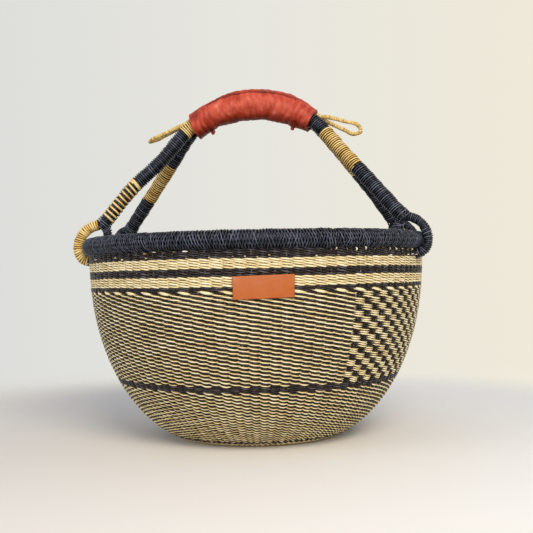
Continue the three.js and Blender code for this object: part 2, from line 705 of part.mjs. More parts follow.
// A hairpin of cord that comes out over the legs and, on the right, turns on edge
function makeHangLoop(name, side, { dropDegrees, twistDegrees }) {
  const drop = THREE.MathUtils.degToRad(dropDegrees);
  const along = new THREE.Vector3(side * Math.cos(drop), 0, -Math.sin(drop));
  const rise = new THREE.Vector3(side * Math.sin(drop), 0, Math.cos(drop));
  const reach = LEG_RADIUS + HANG_CORD_RADIUS + 2 * CLEARANCE;
  const height = Math.sqrt(reach ** 2 - (ARCH_OFFSET - HANG_CORD_RADIUS - CLEARANCE) ** 2);
  const end = side * GRIP_END_ANGLE;
  const out = new THREE.Vector3(side * Math.cos(end), 0, -Math.abs(Math.sin(end)));
  const up = new THREE.Vector3(Math.sin(end), 0, Math.cos(end));
  const exit = gripPoint(end, 0).addScaledVector(up, height).addScaledVector(out, CLEARANCE);
  const base = exit.clone().addScaledVector(out, 2 * HANG_CORD_RADIUS);
  const aside = HANG_LOOP_SHARES[0][1] * HANG_LOOP_LENGTH;
  const root = (sign) => exit.clone().addScaledVector(Y, -sign * aside);
  const strand = (sign) => HANG_LOOP_SHARES.map(([reachShare, spreadShare]) => {
    const twist = THREE.MathUtils.degToRad(twistDegrees) * Math.min(1, reachShare / HANG_TWIST_SHARE);
    const spread = sign * spreadShare * HANG_LOOP_LENGTH;
    const point = base.clone().addScaledVector(along, reachShare * HANG_LOOP_LENGTH);
    point.addScaledVector(Y, -spread * Math.cos(twist));
    return point.addScaledVector(rise, spread * Math.sin(twist));
  });
  const tip = base.clone().addScaledVector(along, HANG_LOOP_LENGTH);
  const route = [root(1), ...strand(1), tip, ...strand(-1).toReversed(), root(-1)];
  const path = new THREE.CatmullRomCurve3(route, false, 'centripetal');
  const reference = twistDegrees ? Y : rise;
  const stations = stationsOf(path, 0, 1, HANG_STEPS, reference);
  add(name, sweep(stations, HANG_SIDES, round(HANG_CORD_RADIUS)), STRAW_NATURAL);
}

makeBowl();
makeRim();
makeLabel();
makeArch('front', -ARCH_OFFSET);
makeArch('back', ARCH_OFFSET);
makeGripCover();
makeCollar('grip_collar_left', 0, COLLAR_SHARE);
makeCollar('grip_collar_right', 1 - COLLAR_SHARE, 1);
makeSeamFlap();
makeKnot('grip_knot_left', KNOT_SHARE * COLLAR_SHARE);
makeKnot('grip_knot_right', 1 - KNOT_SHARE * COLLAR_SHARE);
makeHangLoop('hang_loop_left', -1, HANG_LEFT);
makeHangLoop('hang_loop_right', 1, HANG_RIGHT);

export default group;
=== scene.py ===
# %% [markdown]
# # A bolga basket, straw by straw
# The real basket is twined from split elephant grass in northern Ghana. Upright stakes of twisted
# straw run from the middle of the base to the rim, and two weavers are twisted round each other
# between them, row after row. The rim and the handle are then whipped with more straw, and a sheet
# of dyed goat leather is wrapped round the grip. This lesson builds it the same way, as single
# straws. A photograph of a basket on a flat wall texture would be quicker to set up, but it would
# look painted at the edge, where every stitch of the real thing stands out.

# %% Load the frame
import math

import bpy
import numpy as np
from mathutils import Matrix, Vector, noise


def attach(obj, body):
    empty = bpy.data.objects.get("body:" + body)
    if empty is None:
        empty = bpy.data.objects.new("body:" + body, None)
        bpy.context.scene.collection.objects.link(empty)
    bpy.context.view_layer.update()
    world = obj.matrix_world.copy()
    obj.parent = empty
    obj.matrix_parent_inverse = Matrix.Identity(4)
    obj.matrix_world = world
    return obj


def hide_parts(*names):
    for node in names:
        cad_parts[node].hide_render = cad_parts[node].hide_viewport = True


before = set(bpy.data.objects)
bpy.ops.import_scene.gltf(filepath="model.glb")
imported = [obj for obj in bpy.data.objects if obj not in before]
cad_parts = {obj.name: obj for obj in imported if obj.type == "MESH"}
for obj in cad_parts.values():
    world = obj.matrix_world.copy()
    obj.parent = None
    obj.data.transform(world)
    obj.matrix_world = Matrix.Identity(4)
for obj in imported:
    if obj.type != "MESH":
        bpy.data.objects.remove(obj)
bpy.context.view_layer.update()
MM = 0.001
print("the frame has", len(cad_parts), "solids")

# %% [markdown]
# ## Camera, floor and light
# The basket stands on a pale studio floor and is seen from a little right of its front, at about
# the height of its rim. The sweep of paper behind a real studio shot is here a wide floor that
# fades into the colour of the background, so that the basket can be looked at from any side.

# %% Camera
CAMERA_TURN = math.radians(10)
CAMERA_DISTANCE = 1053 * MM
CAMERA_HEIGHT = 185 * MM
CAMERA_ROLL = math.radians(-1.17)
CAMERA_LENS = 60.8
CAMERA_SENSOR = 36
CAMERA_SHIFT = (0.0197, 0.0131)

camera_data = bpy.data.cameras.new("photo_camera")
camera_data.lens = CAMERA_LENS
camera_data.sensor_width = CAMERA_SENSOR
camera_data.shift_x, camera_data.shift_y = CAMERA_SHIFT
camera = bpy.data.objects.new("photo_camera", camera_data)
bpy.context.scene.collection.objects.link(camera)
camera.matrix_world = (
    Matrix.Rotation(CAMERA_TURN, 4, "Z")
    @ Matrix.Translation((0, -CAMERA_DISTANCE, CAMERA_HEIGHT))
    @ Matrix.Rotation(math.radians(90), 4, "X")
    @ Matrix.Rotation(CAMERA_ROLL, 4, "Z")
)
bpy.context.scene.camera = camera
print("the camera stands at", [round(v, 3) for v in camera.location])


# %% [markdown]
# One helper adds a node with its settings and its links. It serves the shader trees and the
# geometry trees alike. Another turns a colour as it is written for a screen into the linear
# light that Blender works with.

# %% Helpers for nodes and colours
def add(tree, kind, into=None, **settings):
    """Adds a node and fills its inputs. A node as a value stands for its first output."""
    node = tree.nodes.new(kind)
    for name, value in settings.items():
        setattr(node, name, value)
    for key, value in (into or {}).items():
        if isinstance(value, bpy.types.Node):
            value = value.outputs[0]
        if isinstance(value, bpy.types.NodeSocket):
            tree.links.new(value, node.inputs[key])
        else:
            node.inputs[key].default_value = value
    return node


def linear(code, alpha=1.0):
    """The linear colour of an sRGB hex code such as #E3CB85."""
    shares = [int(code[i : i + 2], 16) / 255 for i in (1, 3, 5)]
    bright = [s / 12.92 if s <= 0.04045 else ((s + 0.055) / 1.055) ** 2.4 for s in shares]
    return (*bright, alpha)


def set_ramp(node, stops):
    """Gives a colour ramp its stops, as pairs of a place and a hex code."""
    elements = node.color_ramp.elements
    while len(elements) < len(stops):
        elements.new(0.5)
    for element, (place, code) in zip(elements, stops):
        element.position = place
        element.color = linear(code)


def new_material(name):
    """A material with an empty tree."""
    material = bpy.data.materials.new(name)
    material.use_nodes = True
    material.node_tree.nodes.clear()
    return material, material.node_tree


print("a screen's middle grey has the linear value", round(linear("#808080")[0], 3))

# %% [markdown]
# ## Backdrop paper
# Backdrop paper is matt, so it takes a soft shadow and shows no mirror image. Its colour is a
# little paler and warmer to the right, painted light from the side the lamps shine from. The floor
# is a disc of it that thins out towards its edge, where the world behind it has the same colours,
# so the edge is never seen.

# %% Studio floor
FLOOR_RADIUS = 0.7
FLOOR_SOLID_RADIUS = 0.41
FLOOR_CLEAR_RADIUS = 0.68
FLOOR_RINGS = 24
FLOOR_SIDES = 96
# Painted light: paler and warmer to the right, where the lamps shine from
FLOOR_COLOURS = [(0.0, "#EAE5DA"), (0.45, "#F6F1E6"), (1.0, "#FFFDF4")]
PAPER_REACH = 0.3
PAPER_ROUGHNESS = 0.9
PAPER_SHINE = 0.1


def make_floor():
    """A round floor of paper."""
    points = [(0.0, 0.0, 0.0)]
    for ring in range(1, FLOOR_RINGS + 1):
        radius = FLOOR_RADIUS * ring / FLOOR_RINGS
        for side in range(FLOOR_SIDES):
            angle = 2 * math.pi * side / FLOOR_SIDES
            points.append((radius * math.cos(angle), radius * math.sin(angle), 0.0))
    faces = [(0, 1 + side, 1 + (side + 1) % FLOOR_SIDES) for side in range(FLOOR_SIDES)]
    for ring in range(FLOOR_RINGS - 1):
        here, there = 1 + ring * FLOOR_SIDES, 1 + (ring + 1) * FLOOR_SIDES
        for side in range(FLOOR_SIDES):
            after = (side + 1) % FLOOR_SIDES
            faces.append((here + side, there + side, there + after, here + after))
    mesh = bpy.data.meshes.new("studio_floor")
    mesh.from_pydata(points, [], faces)
    floor = bpy.data.objects.new("studio_floor", mesh)
    bpy.context.scene.collection.objects.link(floor)
    return floor


def paper_tones(tree, place, *ramps):
    """Colours that change from left to right of the camera's view, paler to the right as painted light, and
    the turned axes.
    """
    turned = add(tree, "ShaderNodeMapping", {"Vector": place, "Rotation": (0, 0, -CAMERA_TURN)})
    axes = add(tree, "ShaderNodeSeparateXYZ", {"Vector": turned})
    reach = {"From Min": -PAPER_REACH, "From Max": PAPER_REACH}
    across = add(tree, "ShaderNodeMapRange", {"Value": axes, **reach})
    tones = [add(tree, "ShaderNodeValToRGB", {"Fac": across}) for _ in ramps]
    for tone, stops in zip(tones, ramps):
        set_ramp(tone, stops)
    return axes.outputs, tones


def paper_material():
    """Matt backdrop paper: a wide, dull gloss, so that only the shadow gives it a shape."""
    material, tree = new_material("matt_backdrop_paper")
    place = add(tree, "ShaderNodeTexCoord").outputs["Object"]
    _, (colour,) = paper_tones(tree, place, FLOOR_COLOURS)
    finish = {"Base Color": colour, "Roughness": PAPER_ROUGHNESS, "Specular IOR Level": PAPER_SHINE}
    shader = add(tree, "ShaderNodeBsdfPrincipled", finish)
    out = add(tree, "ShaderNodeVectorMath", {0: place}, operation="LENGTH").outputs["Value"]
    fade = add(
        tree,
        "ShaderNodeMapRange",
        {"Value": out, "From Min": FLOOR_SOLID_RADIUS, "From Max": FLOOR_CLEAR_RADIUS},
        interpolation_type="SMOOTHSTEP",
    )
    clear = add(tree, "ShaderNodeBsdfTransparent")
    both = add(tree, "ShaderNodeMixShader", {0: fade, 1: shader, 2: clear})
    add(tree, "ShaderNodeOutputMaterial", {"Surface": both})
    return material


floor = make_floor()
floor.data.materials.append(paper_material())
print("the floor is", 2 * FLOOR_RADIUS, "m across")

# %% [markdown]
# ## Light
# A large soft lamp stands in front on the right, and a weaker, cooler one on the left opens the
# shadows. A small lamp low in front stands for the light that a pale floor throws back at the
# wall, which curves inwards there. A photograph of a studio as the world would be quicker to set
# up, but three lamps can be moved one by one. The world gives plain even light. What the camera, a
# mirror image or a see-through edge shows of it is the paper, with the bend between floor and wall,
# and its colours are painted paler and warmer to the right, as painted light.

# %% Studio light
SKY_LIGHT = 0.55
SKY_COLOUR = "#E4E9FA"
# Painted light: the paper that the world shows is paler and warmer to the right, where the lamps shine from
WALL_COLOURS = [(0.0, "#DDDDDB"), (0.5, "#E7E6DF"), (1.0, "#EFE9D8")]
FAR_FLOOR_COLOURS = [(0.0, "#D4D1C8"), (0.5, "#E6E3D8"), (1.0, "#F2EEE0")]
BEND_FROM = -0.143
BEND_TO = -0.098
BASKET_MIDDLE = (0, 0, 0.15)
WALL_MIDDLE = (0, 0, 0.12)
# For each lamp its place, the spot it points at, its size in metres, its power and its colour
LAMPS = {
    "key_lamp": ((0.9, -1.9, 1.6), BASKET_MIDDLE, 1.3, 43.0, "#FFF6EA"),
    "fill_lamp": ((-1.7, -1.2, 1.0), BASKET_MIDDLE, 1.2, 8.0, "#EEF3FF"),
    "bounce_lamp": ((0.1, -1.6, 0.2), WALL_MIDDLE, 0.36, 3.6, "#FFFAF2"),
}


def make_world():
    """Plain even light, with the paper's own colours where the camera sees past the floor."""
    world = bpy.data.worlds.new("studio")
    world.use_nodes = True
    tree = world.node_tree
    tree.nodes.clear()
    direction = add(tree, "ShaderNodeTexCoord").outputs["Generated"]
    axes, (wall, ground) = paper_tones(tree, direction, WALL_COLOURS, FAR_FLOOR_COLOURS)
    bend = add(
        tree,
        "ShaderNodeMapRange",
        {"Value": axes["Z"], "From Min": BEND_FROM, "From Max": BEND_TO},
        interpolation_type="SMOOTHSTEP",
    )
    seen = add(tree, "ShaderNodeMix", {0: bend, 6: ground, 7: wall}, data_type="RGBA").outputs[2]
    path = add(tree, "ShaderNodeLightPath").outputs
    rays = [path["Is Camera Ray"], path["Is Glossy Ray"], path["Is Transmission Ray"]]
    shown = add(tree, "ShaderNodeMath", {0: rays[0], 1: rays[1]}, operation="ADD")
    shown = add(tree, "ShaderNodeMath", {0: shown, 1: rays[2]}, operation="ADD", use_clamp=True)
    lit = add(tree, "ShaderNodeBackground", {"Color": linear(SKY_COLOUR), "Strength": SKY_LIGHT})
    paper = add(tree, "ShaderNodeBackground", {"Color": seen, "Strength": 1.0})
    mix = add(tree, "ShaderNodeMixShader", {0: shown, 1: lit, 2: paper})
    add(tree, "ShaderNodeOutputWorld", {"Surface": mix})
    bpy.context.scene.world = world


def make_lamp(name, place, aim, size, power, code):
    """A large soft lamp that points at a spot."""
    data = bpy.data.lights.new(name, "AREA")
    data.shape = "SQUARE"
    data.size = size
    data.energy = power
    data.color = linear(code)[:3]
    lamp = bpy.data.objects.new(name, data)
    lamp.location = place
    lamp.rotation_euler = (Vector(aim) - Vector(place)).to_track_quat("-Z", "Y").to_euler()
    bpy.context.scene.collection.objects.link(lamp)


make_world()
for lamp_name, lamp_settings in LAMPS.items():
    make_lamp(lamp_name, *lamp_settings)
bpy.context.scene.view_settings.view_transform = "Standard"
print(len(LAMPS), "lamps and a plain world are set")

# %% [markdown]
# ## The shape of the bowl
# The wall follows one line, turned round the axis: a flat base that flares out and comes upright
# at the mouth. The basket maker gets it by adding stakes at the edge of the base and pulling the
# weavers tighter towards the rim. It could be drawn by hand, but a formula with two powers fits
# the bend in the photograph, and the solids use the same one. The line, measured along its
# length, says where each row of the weave lies.

# %% Sizes of the bowl
BASE_RADIUS = 88 * MM
MOUTH_RADIUS = 192 * MM
WALL_THICKNESS = 4.6 * MM
FLARE_POWER = 2.29
ROUND_POWER = 1.54
CLEARANCE = 0.3 * MM
RIM_HEIGHT = 218.3 * MM
RIM_CORE_RADIUS = 6.3 * MM
RIM_WRAP_THICKNESS = 3.1 * MM
RIM_TUBE_RADIUS = RIM_CORE_RADIUS + CLEARANCE + RIM_WRAP_THICKNESS
RIM_RADIUS = MOUTH_RADIUS - WALL_THICKNESS / 2
WALL_TOP = RIM_HEIGHT - RIM_CORE_RADIUS - CLEARANCE
PROFILE_STEPS = 3000


def wall_profile():
    """Arc, radius, height and slope of the outer line, from the middle of the base to the top."""
    turns = np.linspace(0, math.pi / 2, PROFILE_STEPS)
    out = np.sin(turns) ** (2 / ROUND_POWER)
    rise = 1 - np.clip(np.cos(turns), 0, 1) ** (2 / FLARE_POWER)
    flat = np.linspace(0, BASE_RADIUS, PROFILE_STEPS, endpoint=False)
    radius = np.concatenate([flat, BASE_RADIUS + (MOUTH_RADIUS - BASE_RADIUS) * out])
    height = np.concatenate([np.zeros(PROFILE_STEPS), WALL_TOP * rise])
    arc = np.concatenate([[0], np.cumsum(np.hypot(np.diff(radius), np.diff(height)))])
    slope = np.arctan2(np.gradient(height, arc), np.gradient(radius, arc))
    return arc, radius, height, slope


ARC, ARC_RADIUS, ARC_HEIGHT, ARC_SLOPE = wall_profile()


def arc_at_height(height):
    """How far along the profile the wall reaches a height."""
    return float(np.interp(height, ARC_HEIGHT[PROFILE_STEPS:], ARC[PROFILE_STEPS:]))


print("from the middle of the base to the rim the wall measures", round(ARC[-1] / MM), "mm")

# %% [markdown]
# ## The rows of the weave
# Seen from outside, one weaver crosses each stake as a slanting stitch. Where both weavers are
# undyed the rows make a natural band, where both are dyed a dark one. Where one is undyed and the
# other dark, the stitches alternate, and because the next row starts one stitch later the undyed
# stitches join up into lines that run down to the right. Over one part of the wall the maker
# changes weavers every three rows instead, which gives a chequered patch.
# The rows are listed here band by band, by the height at which each band ends.

# %% Rows and stakes
STAKES = 104
PATCH_FROM_DEGREES = 43.3
PATCH_STAKES = 28
PATCH_ROWS = 3
# Part, colours, height where the band ends, number of rows
WALL_BANDS = [
    ("bands", "dark", 200.2 * MM, 5),
    ("bands", "natural", 190.2 * MM, 4),
    ("bands", "dark", 182.4 * MM, 3),
    ("bands", "natural", 172.3 * MM, 4),
    ("bands", "dark", 168.3 * MM, 2),
    ("bands", "dashes", 165.2 * MM, 1),
    ("field", "patch", 71.8 * MM, 45),
    ("foot", "dark", 65.6 * MM, 3),
    ("foot", "mixed", 6.6 * MM, 36),
    ("foot", "dark", 3.6 * MM, 2),
    ("foot", "natural", 0.0, 6),
]
# The same on the base, but with the distance from its middle, and with the number of stakes
BASE_BANDS = [
    ("base", "mixed", 78 * MM, 3, 104),
    ("base", "mixed", 62 * MM, 7, 52),
    ("base", "dark", 57 * MM, 2, 52),
    ("base", "natural", 36 * MM, 9, 52),
    ("base", "natural", 17 * MM, 8, 26),
    ("base", "natural", 6 * MM, 5, 13),
]


def stake_angle(stake, stakes=STAKES):
    """Where a stake stands. They are counted from the left edge of the patch."""
    return math.radians(PATCH_FROM_DEGREES + 360 * stake / stakes - 90)


def list_rows():
    """Every row from the rim inwards: its part, colours, arc, height of row and stakes."""
    rows = []
    above = ARC[-1]
    for part, colours, end, count, *stakes in WALL_BANDS + BASE_BANDS:
        below = end if stakes else arc_at_height(end)
        for i in range(count):
            arc = above + (below - above) * (i + 0.5) / count
            rows.append((part, colours, i, arc, (above - below) / count, *(stakes or [STAKES])))
        above = below
    return rows


def is_natural(colours, row, stake):
    """Whether the stitch that shows outside is undyed straw."""
    if colours == "dashes":
        return stake % 2 == 0
    if colours == "patch" and 0 <= stake < PATCH_STAKES:
        return (row // PATCH_ROWS + stake) % 2 == 1
    if colours in ("patch", "mixed"):
        return (row + stake) % 2 == 1
    return colours == "natural"


ROWS = list_rows()
print("the weave has", len(ROWS), "rows")

# %% [markdown]
# Each stitch gets a seat: a point on the middle surface of the wall with the way up, the way in,
# the width between two stakes and the height of its row. The seats are vertices without faces,
# and carry all this as attributes that the node tree reads. Nothing on a handmade basket is quite
# even, so the seats are shaken a little, by the same amounts in every run.

# %% Seats of the stitches
SHAKE_TURN = 0.025
SHAKE_RISE_SHARE = 0.05
ROW_WANDER = 0.7 * MM
WANDERS_PER_TURN = 2.2
WANDERS_PER_METRE = 30
STEADY_UNDER_RIM = 14 * MM
STEADY_IN_MIDDLE = 100 * MM
OUTSIDE = 1
INSIDE = -1
SHAKE_SEEDS = {OUTSIDE: 7, INSIDE: 8}
LINE_SHARE = 0.46
FULL_SHARE = 0.5
DASH_SHARE = 0.66
FALL_SHARES = {"bands": 0.62, "field": 0.76, "foot": 0.76, "base": 0.76}
PATCH_FALL_SHARE = 0.6
LEAST_TONE = 0.38
# Painted shade: the dark stitches of two-colour rows are painted darker, as shade between the pale lines
SUNK_SHADE = 0.16


def row_wander(angle, arc):
    """How far a row strays from its level, as on a handmade wall, but not at the rim and middle."""
    fade = min(1.0, (ARC[-1] - arc) / STEADY_UNDER_RIM) * min(1.0, arc / STEADY_IN_MIDDLE)
    around = (WANDERS_PER_TURN * math.cos(angle), WANDERS_PER_TURN * math.sin(angle))
    return fade * (noise.noise(Vector((*around, arc * WANDERS_PER_METRE))) * ROW_WANDER)


def wall_place(arc, angle):
    """The middle of the wall at a place, the ways up and in there, and the outer radius."""
    lines = (ARC_RADIUS, ARC_HEIGHT, ARC_SLOPE)
    radius, height, slope = (float(np.interp(arc, ARC, line)) for line in lines)
    outward = Vector((math.cos(angle), math.sin(angle), 0))
    up = outward * math.cos(slope) + Vector((0, 0, math.sin(slope)))
    inward = Vector((0, 0, math.cos(slope))) - outward * math.sin(slope)
    middle = outward * radius + Vector((0, 0, height)) + inward * WALL_THICKNESS / 2
    return middle, up, inward, radius


def straw_height_share(colours, natural):
    """Half a straw's height as a share of its row: where two colours meet, the pale one is thin."""
    if colours == "dashes" and natural:
        return DASH_SHARE
    return LINE_SHARE if natural and colours not in ("natural", "dark") else FULL_SHARE


def list_seats(side):
    """The seats on one side of the wall, by part and colour."""
    chance = np.random.default_rng(SHAKE_SEEDS[side])
    seats = {}
    for part, colours, row, arc, row_height, stakes in ROWS:
        two = colours not in ("natural", "dark")
        for stake in range(stakes):
            angle = stake_angle(stake, stakes)
            here = arc + row_wander(angle, arc)
            middle, up, inward, radius = wall_place(here, angle)
            natural = is_natural(colours, row, stake) != (side == INSIDE and two)
            chequered = colours == "patch" and stake < PATCH_STAKES
            tone = LEAST_TONE + (1 - 2 * LEAST_TONE) * chance.random()
            up.rotate(Matrix.Rotation(SHAKE_TURN * chance.normal(), 3, inward))
            middle += up * row_height * SHAKE_RISE_SHARE * chance.normal()
            seat = {
                "place": middle,
                "up": up,
                "in": inward * side,
                "pitch": 2 * math.pi * radius / stakes,
                "row": row_height,
                "full": straw_height_share(colours, natural),
                "fall": PATCH_FALL_SHARE if chequered else FALL_SHARES[part],
                # Painted shade on the dark stitches of two-colour rows
                "tone": tone - (SUNK_SHADE if two and not natural else 0),
            }
            seats.setdefault((part, "natural" if natural else "dark"), []).append(seat)
    return seats


def seat_mesh(name, seats):
    """A mesh of loose points that carry their seats' values."""
    mesh = bpy.data.meshes.new(name)
    mesh.from_pydata([seat["place"] for seat in seats], [], [])
    for key in ("up", "in"):
        layer = mesh.attributes.new("seat_" + key, "FLOAT_VECTOR", "POINT")
        layer.data.foreach_set("vector", [value for seat in seats for value in seat[key]])
    for key in ("pitch", "row", "full", "fall"):
        layer = mesh.attributes.new("seat_" + key, "FLOAT", "POINT")
        layer.data.foreach_set("value", [seat[key] for seat in seats])
    layer = mesh.attributes.new("tone", "FLOAT", "POINT")
    layer.data.foreach_set("value", [seat["tone"] for seat in seats])
    return mesh


OUTER_SEATS = list_seats(OUTSIDE)
INNER_SEATS = list_seats(INSIDE)
print("stitches outside:", sum(map(len, OUTER_SEATS.values())))

# %% [markdown]
# ## One stitch, in geometry nodes
# A stitch is half a turn of a two-strand rope: it comes out of the gap between two stakes, passes
# over the stake and goes back in one row lower. A cylinder of its own for each stitch could be
# modelled in code, but there are more than twenty thousand. So a tree of geometry nodes bends one
# closed cylinder along that half turn, with few faces, and puts a copy on each seat. The other
# half of the turn is the stitch on the inner face.

# %% Sizes of a stitch
STRAW_HALF_DEPTH = 1.05 * MM
OVER_STAKE = 1.2 * MM
# A stitch goes on by this angle, in radians, past the gap at each of its ends
TUCK_TURN = 0.35
TAPER_FROM_SHARE = 0.2
ROD_END_SHARE = 0.5
TAPERED_SHARE = 0.4
STITCH_UNEVEN_SHARE = 0.08
STITCH_SEED = 3
STITCH_SOCKETS = [
    ("Sides", "Int", 5),
    ("Steps", "Int", 5),
    ("Straw Half Depth", "Float", STRAW_HALF_DEPTH),
    ("Over Stake", "Float", OVER_STAKE),
    ("Tuck Turn", "Float", TUCK_TURN),
    ("Unevenness", "Float", STITCH_UNEVEN_SHARE),
    ("Seed", "Int", STITCH_SEED),
    ("Straw", "Material", None),
]
print("a stitch turns by", round(math.degrees(math.pi + 2 * TUCK_TURN)), "degrees")


# %% The bent rod that a stitch is made of
def new_tree(name, sockets):
    """An empty geometry tree with its inputs, each given as a name, a kind and a start value."""
    tree = bpy.data.node_groups.new(name, "GeometryNodeTree")
    face = tree.interface
    face.new_socket("Geometry", in_out="INPUT", socket_type="NodeSocketGeometry")
    for label, kind, value in sockets:
        socket = face.new_socket(label, in_out="INPUT", socket_type="NodeSocket" + kind)
        if value is not None:
            socket.default_value = value
    face.new_socket("Geometry", in_out="OUTPUT", socket_type="NodeSocketGeometry")
    return tree, add(tree, "NodeGroupInput").outputs


def bent_rod(tree, given):
    """A closed rod, bent over the stake. Its points keep where they lie on the straw."""
    size = {"Vertices": given["Sides"], "Side Segments": given["Steps"], "Radius": 1.0, "Depth": 1.0}
    rod = add(tree, "GeometryNodeMeshCylinder", size, fill_type="TRIANGLE_FAN")
    spot = add(tree, "ShaderNodeSeparateXYZ", {0: add(tree, "GeometryNodeInputPosition")}).outputs
    half = add(tree, "ShaderNodeMath", {0: given["Tuck Turn"], 1: 2.0, 2: math.pi}, operation="MULTIPLY_ADD")
    turn = add(tree, "ShaderNodeMath", {0: spot["Z"], 1: half}, operation="MULTIPLY")
    share = add(tree, "ShaderNodeMath", {0: turn, 1: math.pi}, operation="DIVIDE")
    over = add(tree, "ShaderNodeMath", {0: turn}, operation="COSINE")
    side = add(tree, "ShaderNodeMath", {0: spot["Z"]}, operation="ABSOLUTE")
    ends = {"Value": side, "From Min": TAPER_FROM_SHARE, "From Max": ROD_END_SHARE}
    thin = {**ends, "To Min": 1.0, "To Max": TAPERED_SHARE}
    taper = add(tree, "ShaderNodeMapRange", thin, interpolation_type="SMOOTHSTEP")
    deep = add(tree, "ShaderNodeMath", {0: taper, 1: given["Straw Half Depth"]}, operation="MULTIPLY")
    out = add(tree, "ShaderNodeMath", {0: over, 1: given["Over Stake"]}, operation="MULTIPLY")
    inner = add(tree, "ShaderNodeMath", {0: spot["X"], 1: deep}, operation="MULTIPLY")
    depth = add(tree, "ShaderNodeMath", {0: inner, 1: out}, operation="SUBTRACT")
    tall = add(tree, "ShaderNodeMath", {0: spot["Y"], 1: taper}, operation="MULTIPLY")
    fall = add(tree, "ShaderNodeMath", {0: share, 1: -1.0}, operation="MULTIPLY")
    along = add(tree, "ShaderNodeMath", {0: spot["Z"], 1: ROD_END_SHARE}, operation="ADD")
    # The dip, 0 in the middle and 1 at the ends, is read by the straw as painted shade where the stitch goes
    # into the wall
    dip = add(tree, "ShaderNodeMapRange", ends)
    for name, value in (("fall", fall), ("round", spot["Y"]), ("along", along), ("dip", dip)):
        rod = add(tree, "GeometryNodeStoreNamedAttribute", {"Geometry": rod, "Name": name, "Value": value})
    # The height of the straw comes from the seat's scale
    place = add(tree, "ShaderNodeCombineXYZ", {"X": share, "Y": depth, "Z": tall})
    return add(tree, "GeometryNodeSetPosition", {"Geometry": rod, "Position": place})


print("the ends of a stitch are pressed to", TAPERED_SHARE, "of its depth")


# %% Stitch tree
def stitch_tree():
    """Puts a bent stitch on every seat."""
    tree, given = new_tree("twined_stitches", STITCH_SOCKETS)
    stitch = add(tree, "GeometryNodeSetShadeSmooth", {0: bent_rod(tree, given)})
    up, inward = (
        add(tree, "GeometryNodeInputNamedAttribute", {"Name": name}, data_type="FLOAT_VECTOR")
        for name in ("seat_up", "seat_in")
    )
    pitch, row, full, slip, steep = (
        add(tree, "GeometryNodeInputNamedAttribute", {"Name": name}, data_type="FLOAT")
        for name in ("seat_pitch", "seat_row", "seat_full", "fall", "seat_fall")
    )
    axes = {"Primary Axis": up, "Secondary Axis": inward}
    turned = add(tree, "FunctionNodeAxesToRotation", axes, primary_axis="Z", secondary_axis="Y")
    least, most = (
        add(tree, "ShaderNodeMath", {0: 1.0, 1: given["Unevenness"]}, operation=way)
        for way in ("SUBTRACT", "ADD")
    )
    limits = {2: least, 3: most, "Seed": given["Seed"]}
    bulk = add(tree, "FunctionNodeRandomValue", limits).outputs[1]
    height = add(tree, "ShaderNodeMath", {0: row, 1: full}, operation="MULTIPLY")
    height = add(tree, "ShaderNodeMath", {0: height, 1: bulk}, operation="MULTIPLY")
    size = add(tree, "ShaderNodeCombineXYZ", {"X": pitch, "Y": bulk, "Z": height})
    seated = {"Points": given["Geometry"], "Instance": stitch, "Rotation": turned, "Scale": size}
    placed = add(tree, "GeometryNodeInstanceOnPoints", seated)
    single = add(tree, "GeometryNodeRealizeInstances", {0: placed})
    # After realizing, each straw slides down by its share of a row from its left end to its right
    drop = add(tree, "ShaderNodeMath", {0: slip, 1: row}, operation="MULTIPLY")
    drop = add(tree, "ShaderNodeMath", {0: drop, 1: steep}, operation="MULTIPLY")
    shift = add(tree, "ShaderNodeVectorMath", {0: up, "Scale": drop}, operation="SCALE")
    slanted = add(tree, "GeometryNodeSetPosition", {"Geometry": single, "Offset": shift})
    finished = add(tree, "GeometryNodeSetMaterial", {"Geometry": slanted, "Material": given["Straw"]})
    add(tree, "NodeGroupOutput", {0: finished})
    return tree


def grow(name, seats, tree, **settings):
    """Runs a tree on a mesh of seats and keeps the result as a plain mesh."""
    holder = bpy.data.objects.new(name + "_seats", seats)
    bpy.context.scene.collection.objects.link(holder)
    modifier = holder.modifiers.new("grow", "NODES")
    modifier.node_group = tree
    for item in tree.interface.items_tree:
        if item.in_out == "INPUT" and item.name in settings:
            modifier[item.identifier] = settings[item.name]
    shape = holder.evaluated_get(bpy.context.evaluated_depsgraph_get())
    mesh = bpy.data.meshes.new_from_object(shape)
    bpy.data.objects.remove(holder)
    for left_over in [layer.name for layer in mesh.attributes]:
        if left_over.startswith(("seat_", "path_")) or left_over == "fall":
            mesh.attributes.remove(mesh.attributes[left_over])
    mesh.name = name
    piece = bpy.data.objects.new(name, mesh)
    bpy.context.scene.collection.objects.link(piece)
    return piece


def dress(piece, slot, *nodes):
    """Lets a finished piece ride on the basket and stand for its solids."""
    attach(piece, "root")
    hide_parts(*nodes)
    triangles = sum(len(face.vertices) - 2 for face in piece.data.polygons)
    print(piece.name, triangles, "triangles")
    return piece


STITCHES = stitch_tree()
print("the stitch tree has", len(STITCHES.nodes), "nodes")

# %% [markdown]
# ## Straw
# Elephant grass is split, dried and twisted into a firm strand. Undyed it is a pale gold, and no
# two pieces are alike: some are nearly cream, some brown, a few greenish. Dyed with black it keeps
# a violet or blue sheen, because the dye lies on a waxy skin, and its pale crests are a painted
# highlight. Both are finely fluted along the strand, which breaks the highlight into short dashes.
# The flutes are about 0.4 mm wide on the real straw, which is close to what the render can show.
# A picture of straw would repeat itself, so the tone comes from an attribute of each straw and the
# flutes from a noise along it. Painted shade darkens each strand towards its sides.

